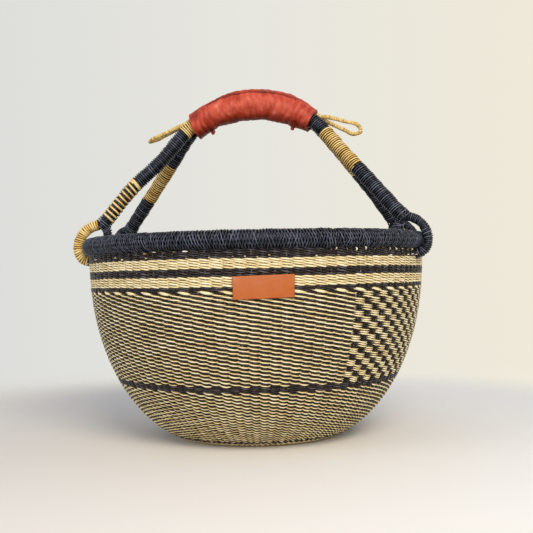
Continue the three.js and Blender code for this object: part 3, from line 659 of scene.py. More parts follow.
# %% Straw materials
STRAW_HALF_WIDTH = 1.04 * MM
FLUTE_WIDTH = 0.4 * MM
FLUTES_ALONG_STITCH = 3.0
FLUTE_SCALES = (FLUTES_ALONG_STITCH, STRAW_HALF_WIDTH / FLUTE_WIDTH, 1.0)
FLUTE_DEPTH = 0.25 * MM
FLUTE_STRENGTH = 0.5
FIBRE_SHARE = 0.55
TONE_SPREAD = 91.0
# Painted shade: how much darker a strand is painted on its crest and towards its sides, where shade falls
# between strands
CREST_SHADE = -0.14
EDGE_SHADE = -0.62
EDGE_FROM = 0.9
# Painted shade where a stitch dips into the wall
DIP_SHADE = -0.1
WAX_IOR = 1.46
SMOOTHER = 0.1
ROUGHER = 0.12
FIBRE_SPAN = {"From Min": 0.3, "From Max": 0.7}


def straw_material(name, tones, roughness, shine, tint="#FFFFFF"):
    """Twisted grass: a tone for each straw, flutes along it, and a waxy, broken gloss."""
    material, tree = new_material(name)
    tone, along, around, dip = (
        add(tree, "ShaderNodeAttribute", attribute_name=stored).outputs["Fac"]
        for stored in ("tone", "along", "round", "dip")
    )
    # Each straw reads the noise at a depth of its own, so no two have the same flutes
    spread = add(tree, "ShaderNodeMath", {0: tone, 1: TONE_SPREAD}, operation="MULTIPLY")
    flat = add(tree, "ShaderNodeCombineXYZ", {"X": along, "Y": around, "Z": spread})
    fluted = add(tree, "ShaderNodeMapping", {"Vector": flat, "Scale": FLUTE_SCALES})
    grain = {"Vector": fluted, "Scale": 1.0, "Detail": 2.0, "Roughness": 0.6}
    fibres = add(tree, "ShaderNodeTexNoise", grain)
    mixed = add(tree, "ShaderNodeMath", {0: fibres, 1: FIBRE_SHARE, 2: tone}, operation="MULTIPLY_ADD")
    # Painted shade: a strand is painted pale on its crest and dark where it turns down to its neighbours,
    # where shade falls between strands
    crest = add(tree, "ShaderNodeMath", {0: around, 1: around}, operation="MULTIPLY")
    shade = {"Value": crest, "From Max": EDGE_FROM, "To Min": CREST_SHADE, "To Max": EDGE_SHADE}
    light_and_shade = add(tree, "ShaderNodeMapRange", shade)
    shifted = add(tree, "ShaderNodeMath", {0: mixed, 1: light_and_shade}, operation="ADD")
    # Painted shade at the ends of a stitch, where it dips into the wall
    shifted = add(tree, "ShaderNodeMath", {0: dip, 1: DIP_SHADE, 2: shifted}, operation="MULTIPLY_ADD")
    colour = add(tree, "ShaderNodeValToRGB", {"Fac": shifted})
    set_ramp(colour, tones)
    dull = {"To Min": roughness - SMOOTHER, "To Max": roughness + ROUGHER}
    gloss = add(tree, "ShaderNodeMapRange", {"Value": fibres, **FIBRE_SPAN, **dull})
    ribs = {"Strength": FLUTE_STRENGTH, "Distance": FLUTE_DEPTH, "Height": fibres}
    bump = add(tree, "ShaderNodeBump", ribs)
    finish = {"Base Color": colour, "Roughness": gloss, "Normal": bump, "IOR": WAX_IOR}
    wax = {"Specular IOR Level": shine, "Specular Tint": linear(tint)}
    shader = add(tree, "ShaderNodeBsdfPrincipled", {**finish, **wax})
    add(tree, "ShaderNodeOutputMaterial", {"Surface": shader})
    return material


print("the flutes of the straw are", round(FLUTE_WIDTH / MM, 1), "mm wide")

# %% Undyed straw
NATURAL_TONES = [(0.0, "#20160A"), (0.14, "#6C5028"), (0.3, "#BE9F5F"), (0.5, "#F1DEA4"), (1.0, "#FFFCE8")]
GOLDEN_TONES = [(0.0, "#1E1307"), (0.14, "#644316"), (0.3, "#B88B3A"), (0.5, "#E9C068"), (1.0, "#FFEFB6")]

# Split and twisted dry: the eye sees pale gold with a dull, broken shine and brown between strands
NATURAL_STRAW = straw_material("undyed_twisted_grass", NATURAL_TONES, roughness=0.5, shine=0.35)

# The same grass, picked riper for the handle and rubbed by hands: deeper gold, a little glossier
GOLDEN_STRAW = straw_material("undyed_golden_grass", GOLDEN_TONES, roughness=0.45, shine=0.4)
print("two undyed straws are ready")

# %% Dyed straw
# The pale top stop of each dyed ramp is a painted highlight on the crests of the strands
DARK_TONES = [(0.0, "#060301"), (0.35, "#1A1008"), (0.6, "#2C272A"), (1.0, "#8E888E")]
NAVY_TONES = [(0.0, "#030304"), (0.35, "#0B0C11"), (0.6, "#2B2E37"), (1.0, "#838A9C")]

# Boiled in black dye and twisted: brown black, with a small warm gleam along each strand and a painted
# highlight on its crest
DARK_FINISH = {"roughness": 0.3, "shine": 0.3, "tint": "#FFF5EC"}
DARK_STRAW = straw_material("black_dyed_twisted_grass", DARK_TONES, **DARK_FINISH)

# Dyed the same and wound tight over an edge: its waxy skin lies smooth and gleams blue grey, with a painted
# highlight on its crests
NAVY_FINISH = {"roughness": 0.27, "shine": 0.5, "tint": "#DCE5FF"}
NAVY_STRAW = straw_material("blue_black_dyed_grass", NAVY_TONES, **NAVY_FINISH)
print("two dyed straws are ready")

# %% [markdown]
# ## The wall and the base
# Each side of the wall, each part of it and each colour becomes one piece. The outer stitches
# show from close by and have five sides and five steps, the inner ones have four. The piece grows
# from its seats, is kept as a plain mesh, and then stands for the woven bowl of the solids.

# %% Twined wall and base
STRAWS = {"natural": NATURAL_STRAW, "dark": DARK_STRAW}
# The seats of each side of the wall, and the sides and steps of its stitches
WALL_SIDES = {"outer": (OUTER_SEATS, 5, 5), "inner": (INNER_SEATS, 4, 4)}


def weave():
    """All stitches, as one piece for each side, part and colour."""
    for side, (seats, sides, steps) in WALL_SIDES.items():
        for (part, colour), places in seats.items():
            name = f"{side}_{part}_{colour}_stitches"
            settings = {"Sides": sides, "Steps": steps, "Seed": STITCH_SEED, "Straw": STRAWS[colour]}
            piece = grow(name, seat_mesh(name, places), STITCHES, **settings)
            dress(piece, "woven_straw", "woven_bowl")


weave()

# %% [markdown]
# The stakes run up inside the twining. Only 13 of them cross in the middle of the base, and more
# are laid in at three rings further out, so that the gaps between them stay about as wide as the
# wall grows. They hardly show, and could be left out, but between two stitches it is a stake that
# closes the gap. So they are plain round straws with five sides, swept along the wall.

# %% Stakes
STAKE_RADIUS = 0.8 * MM
# Every eighth stake starts near the middle, the other fourth ones at the first ring, and so on
STAKE_STARTS = {8: 1 * MM, 4: 17 * MM, 2: 36 * MM, 1: 78 * MM}
STAKE_SPACING = 8 * MM
STAKE_SEED = 9


def stake_lines():
    """The lines of all stakes, as loose edges that carry a tone for each stake."""
    points, edges, tones = [], [], []
    chance = np.random.default_rng(STAKE_SEED)
    for stake in range(STAKES):
        start = next(start for step, start in STAKE_STARTS.items() if stake % step == 0)
        angle = stake_angle(stake)
        arcs = np.linspace(start, ARC[-1], round((ARC[-1] - start) / STAKE_SPACING))
        tone = chance.random()
        for i, arc in enumerate(arcs):
            if i:
                edges.append((len(points) - 1, len(points)))
            points.append(tuple(wall_place(arc, angle)[0]))
            tones.append(tone)
    mesh = bpy.data.meshes.new("stake_lines")
    mesh.from_pydata(points, edges, [])
    mesh.attributes.new("tone", "FLOAT", "POINT").data.foreach_set("value", tones)
    return mesh


def stake_tree():
    """Sweeps a round straw along every line."""
    inputs = [("Radius", "Float", STAKE_RADIUS), ("Sides", "Int", 5), ("Straw", "Material", None)]
    tree, given = new_tree("round_stakes", inputs)
    lines = add(tree, "GeometryNodeMeshToCurve", {"Mesh": given["Geometry"]})
    size = {"Resolution": given["Sides"], "Radius": given["Radius"]}
    ring = add(tree, "GeometryNodeCurvePrimitiveCircle", size)
    sweep = {"Curve": lines, "Profile Curve": ring, "Fill Caps": True}
    swept = add(tree, "GeometryNodeCurveToMesh", sweep)
    smooth = add(tree, "GeometryNodeSetShadeSmooth", {0: swept})
    single = add(tree, "GeometryNodeRealizeInstances", {0: smooth})
    finished = add(tree, "GeometryNodeSetMaterial", {"Geometry": single, "Material": given["Straw"]})
    add(tree, "NodeGroupOutput", {0: finished})
    return tree


dress(grow("stakes", stake_lines(), stake_tree(), Straw=NATURAL_STRAW), "woven_straw", "woven_bowl")

# %% [markdown]
# ## Paths of the rim and the handle
# The rim is a ring. Each arch of the handle is a bundle of stems that runs over the basket from
# one foot to the other, two side by side in the grip. A foot is a closed loop through the wall and
# round the rim, pointed on the inside where it meets the leg. All of these could be drawn by hand
# as curves. Here they are worked out from a few points, the same as in the solids, so that the
# straw lies where they are.

# %% Sizes of the handle
STRAND_RADIUS = 5.4 * MM
WOUND_FOOT_RADIUS = 6.3 * MM
LEG_RADIUS = 8.4 * MM
ARCH_CORE_RADIUS = 5.6 * MM
ARCH_OFFSET = LEG_RADIUS + 2 * CLEARANCE
GRIP_AXIS_HEIGHT = 381.8 * MM
GRIP_BEND_RADIUS = 119 * MM
GRIP_HALF_LENGTH = 69.5 * MM
GRIP_HALF_HEIGHT = 17 * MM
GRIP_HALF_DEPTH = 18 * MM
# From the left end of the grip to its right end
GRIP_HEIGHT_SHARES = [0.79, 0.83, 0.99, 1, 1, 0.93, 0.67]
GRIP_END_ANGLE = math.asin(GRIP_HALF_LENGTH / GRIP_BEND_RADIUS)
GRIP_END_GAP = 1 * MM
UNDER_LEATHER = 4 * MM
SHOULDER_LENGTH = 8 * MM
SHOULDER_SPREAD = 1.2 * MM
# The neck of a foot loop: out and up from the middle of the rim, as shares of the loop's radius
NECK_SHARES = [(-1.09, 0.6), (-1.1, 1.15), (-0.76, 1.62), (-0.1, 1.55), (0.62, 1.04)]
APEX_SHARES = NECK_SHARES[2]
# The rest of the loop: angles round the middle of the rim, counted upwards from straight out
FOOT_ARC_DEGREES = [15, -10, -35, -60, -90, -120, -150, -180]
# Side, swing towards the back in degrees (below 0 to the front), and the radius of the strand
FEET = {
    "left_front": (-1, -12, WOUND_FOOT_RADIUS),
    "left_back": (-1, 18, STRAND_RADIUS),
    "right_front": (1, -15, STRAND_RADIUS),
    "right_back": (1, 25, STRAND_RADIUS),
}
# How far each leg bows outwards at one third and at two thirds of its length
LEG_BOWS = {
    "left_front": (2.8 * MM, -1.2 * MM),
    "left_back": (0.0, 0.0),
    "right_front": (0.0, 0.0),
    "right_back": (2 * MM, 1.5 * MM),
}
# Where the straw changes on each leg, as shares of the way from the grip to the foot
WRAP_CHANGE_SHARES = {
    "left_front": [0.09, 0.63],
    "left_back": [0.37, 0.74],
    "right_front": [0.14, 0.53],
    "right_back": [0.12, 0.53],
}
print("the grip is", round(2 * GRIP_END_ANGLE * GRIP_BEND_RADIUS / MM), "mm long")


# %% Smooth curves through points
POINTS_PER_SPAN = 30
PATH_SPACING = 2 * MM


def smooth_path(points, closed=False):
    """A centripetal Catmull-Rom curve through the points, as closely spaced points."""
    points = [Vector(point) for point in points]
    count = len(points)
    path = []
    for i in range(count if closed else count - 1):
        b, c = points[i], points[(i + 1) % count]
        a = points[i - 1] if closed or i else 2 * b - c
        d = points[(i + 2) % count] if closed or i + 2 < count else 2 * c - b
        gaps = [math.sqrt((q - p).length) for p, q in ((a, b), (b, c), (c, d))]
        leave = (b - a) / gaps[0] - (c - a) / (gaps[0] + gaps[1]) + (c - b) / gaps[1]
        arrive = (c - b) / gaps[1] - (d - b) / (gaps[1] + gaps[2]) + (d - c) / gaps[2]
        leave, arrive = leave * gaps[1], arrive * gaps[1]
        for k in range(POINTS_PER_SPAN):
            t = k / POINTS_PER_SPAN
            cubic = (2 * b - 2 * c + leave + arrive) * t**3
            square = (-3 * b + 3 * c - 2 * leave - arrive) * t**2
            path.append(cubic + square + leave * t + b)
    path.append(points[0] if closed else points[-1])
    return np.array([list(point) for point in path])


def length_of(path):
    """The length of a path."""
    return float(np.linalg.norm(np.diff(path, axis=0), axis=1).sum())


def cut(path, start, end, spacing=PATH_SPACING):
    """The stretch of a path between two shares of its length, evenly spaced."""
    steps = np.linalg.norm(np.diff(path, axis=0), axis=1)
    run = np.concatenate([[0], np.cumsum(steps)]) / steps.sum()
    count = max(3, round(abs(end - start) * steps.sum() / spacing))
    shares = np.linspace(start, end, count)
    return np.stack([np.interp(shares, run, path[:, axis]) for axis in range(3)], axis=1)


def share_near(path, point):
    """The share of a path's length at which it passes nearest to a point."""
    steps = np.linalg.norm(np.diff(path, axis=0), axis=1)
    run = np.concatenate([[0], np.cumsum(steps)]) / steps.sum()
    return float(run[np.argmin(np.linalg.norm(path - np.array(point), axis=1))])


print("each span of a curve is drawn with", POINTS_PER_SPAN, "points")

# %% Feet, legs and arches
FRONT = Vector((0, 1, 0))
GRIP_SPANS = 4


class Foot:
    """Where a foot loop crosses the rim. Out is away from the basket's axis."""

    def __init__(self, side, swing_degrees, strand_radius):
        swing = math.radians(swing_degrees)
        self.side = side
        self.outward = Vector((side * math.cos(swing), math.sin(swing), 0))
        self.across = self.outward.cross(Vector((0, 0, 1)))
        self.radius = RIM_TUBE_RADIUS + CLEARANCE + strand_radius
        self.apex = self.at(*APEX_SHARES)
        arc = [math.radians(degrees) for degrees in FOOT_ARC_DEGREES]
        neck = [self.at(*shares) for shares in NECK_SHARES]
        self.path = smooth_path(neck + [self.at(math.cos(a), math.sin(a)) for a in arc], closed=True)

    def at(self, out, up):
        """A point beside the rim, in shares of the loop's radius."""
        centre = self.outward * RIM_RADIUS + Vector((0, 0, RIM_HEIGHT))
        return centre + self.outward * out * self.radius + Vector((0, 0, up * self.radius))


def grip_point(turn, depth):
    """A point on the arc of the grip's axis, or beside it."""
    out = GRIP_BEND_RADIUS * math.sin(turn)
    height = GRIP_AXIS_HEIGHT - GRIP_BEND_RADIUS + GRIP_BEND_RADIUS * math.cos(turn)
    return Vector((out, depth, height))


def leg_points(foot, bows, depth):
    """A leg: in line with the grip at first, then to the apex of its foot with a slight bow."""
    end = grip_point(foot.side * GRIP_END_ANGLE, depth)
    outward = Vector((foot.side * math.cos(GRIP_END_ANGLE), 0, -math.sin(GRIP_END_ANGLE)))
    shoulder = end + outward * SHOULDER_LENGTH
    shoulder.y += math.copysign(SHOULDER_SPREAD, depth)
    direction = (shoulder - foot.apex).normalized()
    start = foot.apex + direction * (STRAND_RADIUS + 2 * CLEARANCE)
    bowed = direction.cross(FRONT).normalized() * -foot.side
    places = [(i + 1) / (len(bows) + 1) for i in range(len(bows))]
    middle = [start.lerp(shoulder, share) + bowed * bow for share, bow in zip(places, bows)]
    return direction, start, end, [start, *middle, shoulder, end]


def arch(name, depth):
    """The path of one arch, with what is known of each of its legs."""
    feet = {side: Foot(*FEET[f"{side}_{name}"]) for side in ("left", "right")}
    legs = {side: leg_points(foot, LEG_BOWS[f"{side}_{name}"], depth) for side, foot in feet.items()}
    spans = range(1 - GRIP_SPANS, GRIP_SPANS)
    grip = [grip_point(i / GRIP_SPANS * GRIP_END_ANGLE, depth) for i in spans]
    path = smooth_path(legs["left"][3] + grip + legs["right"][3][::-1])
    return path, feet, legs


ARCHES = {"front": arch("front", -ARCH_OFFSET), "back": arch("back", ARCH_OFFSET)}
print("the front arch is", round(length_of(ARCHES["front"][0]) / MM), "mm long")

# %% [markdown]
# ## Winding straw round a path
# Whipping is one long straw wound round and round, each turn pressed against the last. A torus
# for each turn would not join up, so the tree follows the real thing: it copies the path once for
# each straw, pushes the points out along a turning direction, and sweeps a flattened straw along
# the result. Noise lets the turns stray and swell a little, as they do when a hand pulls them
# tight. A sleeve under the turns closes the gaps, where the real one shows the straw below in
# shade; the sleeve is painted as dark as the straw gets, as painted shade. Bundles of stems are
# the same tree with a very long turn.

# %% Sizes of a winding
# The real turns are about 2.1 mm apart. They are drawn a little coarser, so that they still show
STRAW_PITCH = 2.6 * MM
TURN_HALF_WIDTH = 0.98 * MM
TURN_HALF_THICKNESS = 0.7 * MM
SLEEVE_DEPTH = 0.6 * MM
SLEEVE_SIDES = 14
STITCH_LENGTH = 11.6 * MM
SWELLS_PER_METRE = 90.0
STRAND_SPREAD = 9.7
SPARE_STEPS = 2.0
TONE_SPAN = {"From Min": -0.22, "From Max": 0.22, "To Min": 0.3, "To Max": 0.7}
WINDING_SOCKETS = [
    ("Strands", "Int", 1),
    ("Straw Pitch", "Float", STRAW_PITCH),
    ("Straw Half Width", "Float", TURN_HALF_WIDTH),
    ("Straw Half Thickness", "Float", TURN_HALF_THICKNESS),
    ("Hand", "Float", 1.0),
    ("Slant", "Float", 0.0),
    ("Start Turn", "Float", 0.0),
    ("Steps", "Int", 16),
    ("Sides", "Int", 6),
    ("Unevenness", "Float", 0.9 * MM),
    ("Straying", "Float", 1.1 * MM),
    ("Swell", "Float", 1.4 * MM),
    ("Restlessness", "Float", 1.7),
    ("Sleeve Depth", "Float", SLEEVE_DEPTH),
    ("Seed", "Float", 5.0),
    ("Straw", "Material", None),
]
print("a turn of straw is", round(2 * TURN_HALF_WIDTH / MM, 1), "mm wide")


# %% The turns, and how they stray
def count_turns(tree, given, line):
    """Copies the line for each straw, and finds the turn that each of its points is at."""
    length = add(tree, "GeometryNodeCurveLength", {0: line})
    strands = given["Strands"]
    lead = add(tree, "ShaderNodeMath", {0: given["Straw Pitch"], 1: strands}, operation="MULTIPLY")
    turns = add(tree, "ShaderNodeMath", {0: length, 1: lead}, operation="DIVIDE")
    steps = {0: turns, 1: given["Steps"], 2: SPARE_STEPS}
    count = add(tree, "ShaderNodeMath", steps, operation="MULTIPLY_ADD")
    several = add(tree, "GeometryNodeDuplicateElements", {0: line, "Amount": strands}, domain="SPLINE")
    which = several.outputs["Duplicate Index"]
    fine = add(tree, "GeometryNodeResampleCurve", {"Curve": several, "Count": count})
    run = add(tree, "GeometryNodeSplineParameter").outputs["Length"]
    along = add(tree, "ShaderNodeMath", {0: run, 1: lead}, operation="DIVIDE")
    phase = add(tree, "ShaderNodeMath", {0: which, 1: strands}, operation="DIVIDE")
    begun = add(tree, "ShaderNodeMath", {0: phase, 1: given["Start Turn"]}, operation="ADD")
    turned = add(tree, "ShaderNodeMath", {0: along, 1: begun}, operation="ADD")
    return fine, run, which, turned


def shake_turns(tree, given, run, which, turned):
    """Three channels of one noise: how far a turn lifts, how far it strays, and its tone."""
    other = add(
        tree, "ShaderNodeMath", {0: which, 1: STRAND_SPREAD, 2: given["Seed"]}, operation="MULTIPLY_ADD"
    )
    spot = add(tree, "ShaderNodeCombineXYZ", {"X": turned, "Y": other})
    restless = {"Vector": spot, "Scale": given["Restlessness"], "Detail": 1.0}
    shaken = add(tree, "ShaderNodeTexNoise", restless, noise_dimensions="2D").outputs["Color"]
    centred = add(tree, "ShaderNodeVectorMath", {0: shaken, 1: (0.5, 0.5, 0.5)}, operation="SUBTRACT")
    shake = add(tree, "ShaderNodeSeparateXYZ", {0: centred}).outputs
    waver = add(tree, "ShaderNodeMath", {0: shake["X"], 1: given["Unevenness"]}, operation="MULTIPLY")
    stray = add(tree, "ShaderNodeMath", {0: shake["Y"], 1: given["Straying"]}, operation="MULTIPLY")
    tone = add(tree, "ShaderNodeMapRange", {"Value": shake["Z"], **TONE_SPAN})
    # The whole whipping also swells and shrinks slowly, as the bundle below it does
    slow = {"W": run, "Scale": SWELLS_PER_METRE, "Detail": 0.0}
    slow = add(tree, "ShaderNodeTexNoise", slow, noise_dimensions="1D")
    slow = add(tree, "ShaderNodeMath", {0: slow, 1: 0.5}, operation="SUBTRACT")
    swell = {0: slow, 1: given["Swell"], 2: waver}
    lift = add(tree, "ShaderNodeMath", swell, operation="MULTIPLY_ADD")
    return lift, stray, tone


def push_out(tree, given, turned, lift, stray, half_sizes):
    """The ways from the line out to the straw, and along the line where the straw leans."""
    full = add(tree, "ShaderNodeMath", {0: given["Hand"], 1: 2 * math.pi}, operation="MULTIPLY")
    angle = add(tree, "ShaderNodeMath", {0: turned, 1: full}, operation="MULTIPLY")
    cosine = add(tree, "ShaderNodeMath", {0: angle}, operation="COSINE")
    sine = add(tree, "ShaderNodeMath", {0: angle}, operation="SINE")
    # The two directions square to the path, the first of them nearest to the given side
    tangent = add(tree, "GeometryNodeInputTangent")
    side = add(tree, "GeometryNodeInputNamedAttribute", {"Name": "path_side"}, data_type="FLOAT_VECTOR")
    up = add(tree, "ShaderNodeVectorMath", {0: tangent, 1: side}, operation="CROSS_PRODUCT")
    up = add(tree, "ShaderNodeVectorMath", {0: up}, operation="NORMALIZE")
    square = add(tree, "ShaderNodeVectorMath", {0: up, 1: tangent}, operation="CROSS_PRODUCT")
    parts = []
    for way, half, share in ((square, half_sizes[0], cosine), (up, half_sizes[1], sine)):
        here = add(tree, "ShaderNodeMath", {0: half, 1: lift}, operation="ADD")
        out = add(tree, "ShaderNodeMath", {0: here, 1: share}, operation="MULTIPLY")
        parts.append(add(tree, "ShaderNodeVectorMath", {0: way, "Scale": out}, operation="SCALE"))
    outward = add(tree, "ShaderNodeVectorMath", {0: parts[0], 1: parts[1]}, operation="ADD")
    lean = add(tree, "ShaderNodeMath", {0: given["Slant"], 1: sine, 2: stray}, operation="MULTIPLY_ADD")
    leaning = add(tree, "ShaderNodeVectorMath", {0: tangent, "Scale": lean}, operation="SCALE")
    return outward, add(tree, "ShaderNodeVectorMath", {0: outward, 1: leaning}, operation="ADD")


print("a winding swells and shrinks about every", round(1 / SWELLS_PER_METRE / MM), "mm")


# %% The straw and the sleeve below it
def sweep_straw(tree, given, wound):
    """A flattened straw along the wound line, with its flat side to the path."""
    facing = {"Name": "path_out"}
    facing = add(tree, "GeometryNodeInputNamedAttribute", facing, data_type="FLOAT_VECTOR")
    aimed = add(tree, "GeometryNodeSetCurveNormal", {"Curve": wound, "Normal": facing}, mode="FREE")
    size = {"Resolution": given["Sides"], "Radius": 1.0}
    ring = add(tree, "GeometryNodeCurvePrimitiveCircle", size)
    place = add(tree, "ShaderNodeSeparateXYZ", {0: add(tree, "GeometryNodeInputPosition")}).outputs
    crest = {"Geometry": ring, "Name": "round", "Value": place["Y"]}
    ring = add(tree, "GeometryNodeStoreNamedAttribute", crest)
    halves = {"X": given["Straw Half Thickness"], "Y": given["Straw Half Width"], "Z": 1.0}
    scale = add(tree, "ShaderNodeCombineXYZ", halves)
    section = add(tree, "GeometryNodeTransform", {"Geometry": ring, "Scale": scale})
    sweep = {"Curve": aimed, "Profile Curve": section, "Fill Caps": True}
    return add(tree, "GeometryNodeCurveToMesh", sweep)


def shade_sleeve(tree, given, line, half_sizes):
    """The sleeve below the turns, painted as dark as the straw gets, as the shade in the gaps."""
    least = add(tree, "ShaderNodeMath", {0: half_sizes[0], 1: half_sizes[1]}, operation="MINIMUM")
    inside = add(tree, "ShaderNodeMath", {0: least, 1: given["Sleeve Depth"]}, operation="SUBTRACT")
    ring = {"Resolution": SLEEVE_SIDES, "Radius": 1.0}
    ring = add(tree, "GeometryNodeCurvePrimitiveCircle", ring)
    sweep = {"Curve": line, "Profile Curve": ring, "Scale": inside, "Fill Caps": True}
    sleeve = add(tree, "GeometryNodeCurveToMesh", sweep)
    # Painted shade: the sleeve takes the darkest tone and the darkest side of the straw
    for name, value in (("round", 1.0), ("tone", 0.0)):
        stored = {"Geometry": sleeve, "Name": name, "Value": value}
        sleeve = add(tree, "GeometryNodeStoreNamedAttribute", stored)
    return sleeve


print("the sleeve lies", round(SLEEVE_DEPTH / MM, 1), "mm below the middle of the straw")


# %% Winding tree
def winding_tree():
    """Winds straws round a path whose points carry a side, a half width and a half height."""
    tree, given = new_tree("wound_straw", WINDING_SOCKETS)
    line = add(tree, "GeometryNodeMeshToCurve", {"Mesh": given["Geometry"]})
    half_sizes = [
        add(tree, "GeometryNodeInputNamedAttribute", {"Name": name}, data_type="FLOAT")
        for name in ("path_wide", "path_high")
    ]
    fine, run, which, turned = count_turns(tree, given, line)
    lift, stray, tone = shake_turns(tree, given, run, which, turned)
    outward, offset = push_out(tree, given, turned, lift, stray, half_sizes)
    kept = add(tree, "GeometryNodeStoreNamedAttribute", {"Geometry": fine, "Name": "tone", "Value": tone})
    way = {"Geometry": kept, "Name": "path_out", "Value": outward}
    kept = add(tree, "GeometryNodeStoreNamedAttribute", way, data_type="FLOAT_VECTOR")
    wound = add(tree, "GeometryNodeSetPosition", {"Geometry": kept, "Offset": offset})
    # Along the wound straw the pattern repeats at the length of one stitch of the wall
    stitches = add(tree, "ShaderNodeMath", {0: run, 1: STITCH_LENGTH}, operation="DIVIDE")
    along = {"Geometry": wound, "Name": "along", "Value": stitches}
    wound = add(tree, "GeometryNodeStoreNamedAttribute", along)
    swept = sweep_straw(tree, given, wound)
    sleeve = shade_sleeve(tree, given, line, half_sizes)
    whole = add(tree, "GeometryNodeJoinGeometry", {0: swept})
    tree.links.new(sleeve.outputs[0], whole.inputs[0])
    smooth = add(tree, "GeometryNodeSetShadeSmooth", {0: whole})
    single = add(tree, "GeometryNodeRealizeInstances", {0: smooth})
    finished = add(tree, "GeometryNodeSetMaterial", {"Geometry": single, "Material": given["Straw"]})
    add(tree, "NodeGroupOutput", {0: finished})
    return tree


WINDING = winding_tree()
print("the winding tree has", len(WINDING.nodes), "nodes")


# %% Winding a path
def path_mesh(name, path, side, wide, high):
    """A path as vertices and edges, with the side and the half sizes that the tree reads."""
    mesh = bpy.data.meshes.new(name)
    edges = [(i, i + 1) for i in range(len(path) - 1)]
    mesh.from_pydata([tuple(point) for point in path], edges, [])
    sides = np.broadcast_to(np.array(side, float), path.shape).ravel()
    mesh.attributes.new("path_side", "FLOAT_VECTOR", "POINT").data.foreach_set("vector", sides)
    for key, value in (("path_wide", wide), ("path_high", high)):
        values = np.broadcast_to(np.array(value, float), len(path))
        mesh.attributes.new(key, "FLOAT", "POINT").data.foreach_set("value", np.array(values))
    return mesh


def wind(name, path, side, radius, straw, high=None, **settings):
    """Winds straw round a path. The radius is to the outside of the straw."""
    half = settings.get("Straw Half Thickness", TURN_HALF_THICKNESS)
    wide = np.asarray(radius) - half
    tall = wide if high is None else np.asarray(high) - half
    mesh = path_mesh(name, path, side, wide, tall)
    return grow(name, mesh, WINDING, Straw=straw, **settings)


print("on a leg the middle of the straw lies", round((LEG_RADIUS - TURN_HALF_THICKNESS) / MM, 1), "mm out")

# %% [markdown]
# ## Rim
# The ends of the stakes are bent round a ring of stems and whipped over. Two straws go round at
# once and lean opposite ways, so that they cross on the outside and make small arrowheads. A
# pattern of arrowheads on a plain ring would end in a smooth edge. So both straws are wound, each
# with a slant of its own, and the noise makes them stray and cross unevenly.

# %% Rim whipping
RIM_STRAW_PITCH = 3.0 * MM
RIM_STRAW_HALF_WIDTH = 0.72 * MM
RIM_STRAW_HALF_THICKNESS = 0.6 * MM
RIM_SLANTS = {"first": 3.2 * MM, "second": -3.2 * MM}
RIM_UNEVENNESS = 1.2 * MM
RIM_STRAYING = 2.0 * MM
RIM_RESTLESSNESS = 2.6
RIM_STEPS = 20
RIM_SEED = 11.0
RIM_PATH_POINTS = 720
STEM_LEAD = 480 * MM
STEM_STEPS = 96
RIM_STEMS = 8
RIM_STEM_HALF_WIDTH = 2.6 * MM
RIM_STEM_HALF_THICKNESS = 2.4 * MM


def rim_path():
    """The ring that the rim follows, with the way out at each of its points."""
    angles = np.linspace(0, 2 * math.pi, RIM_PATH_POINTS + 1)
    outward = np.stack([np.cos(angles), np.sin(angles), np.zeros_like(angles)], axis=1)
    return outward * RIM_RADIUS + np.array([0, 0, RIM_HEIGHT]), outward


def bundle(name, path, side, radius, stems, half_width, half_thickness, high=None):
    """Stems side by side along a path, laid in with a slight twist."""
    settings = {
        "Strands": stems,
        "Straw Pitch": STEM_LEAD / stems,
        "Straw Half Width": half_width,
        "Straw Half Thickness": half_thickness,
        "Steps": STEM_STEPS,
        "Swell": 0.0,
        "Unevenness": 0.0,
        "Straying": 0.0,
    }
    return wind(name, path, side, radius, NATURAL_STRAW, high=high, **settings)


def make_rim():
    """The bundle of stems and the two straws that are wound round it."""
    path, outward = rim_path()
    size = (RIM_STEM_HALF_WIDTH, RIM_STEM_HALF_THICKNESS)
    stems = bundle("rim_stems", path, outward, RIM_CORE_RADIUS, RIM_STEMS, *size)
    dress(stems, "grass_stems", "rim_core")
    for i, (name, slant) in enumerate(RIM_SLANTS.items()):
        settings = {
            "Straw Pitch": RIM_STRAW_PITCH,
            "Straw Half Width": RIM_STRAW_HALF_WIDTH,
            "Straw Half Thickness": RIM_STRAW_HALF_THICKNESS,
            "Slant": slant,
            "Start Turn": i / len(RIM_SLANTS),
            "Steps": RIM_STEPS,
            "Unevenness": RIM_UNEVENNESS,
            "Straying": RIM_STRAYING,
            "Restlessness": RIM_RESTLESSNESS,
            "Seed": RIM_SEED + i,
        }
        straw = wind(f"rim_whipping_{name}", path, outward, RIM_TUBE_RADIUS, NAVY_STRAW, **settings)
        dress(straw, "dark_straw", "rim_wrap")


make_rim()

# %% [markdown]
# Where the maker joined in new straw, undyed bits poke out along the lower edge of the rim. They
# could be pale spots in the material, but they stand out from the wall. So they are short stitches
# out of place, and grow from the same tree as the wall's: flat ones on the left of the front,
# upright ones on the right, and small specks between the stakes in the dark band.

# %% Undyed ends below the rim
# Each run of flecks: from and to in degrees, length, height, and how far they may lean
FLECK_RUNS = {
    "flat": (-24.7, -10, 6.4 * MM, 1.9 * MM, (-8, 8)),
    "upright": (34, 79, 3.2 * MM, 1.3 * MM, (60, 115)),
}
FLECK_LIFT = 0.9 * MM
FLECK_SIZES = [0.45, 0.8, 1.1]
FLECK_SEED = 12
SPECK_HEIGHT = 201.6 * MM
SPECK_LENGTH = 1.9 * MM
SPECK_ROW = 1.0 * MM
SPECK_SHARE = 0.7
SPECK_SIZES = (0.5, 1.2)


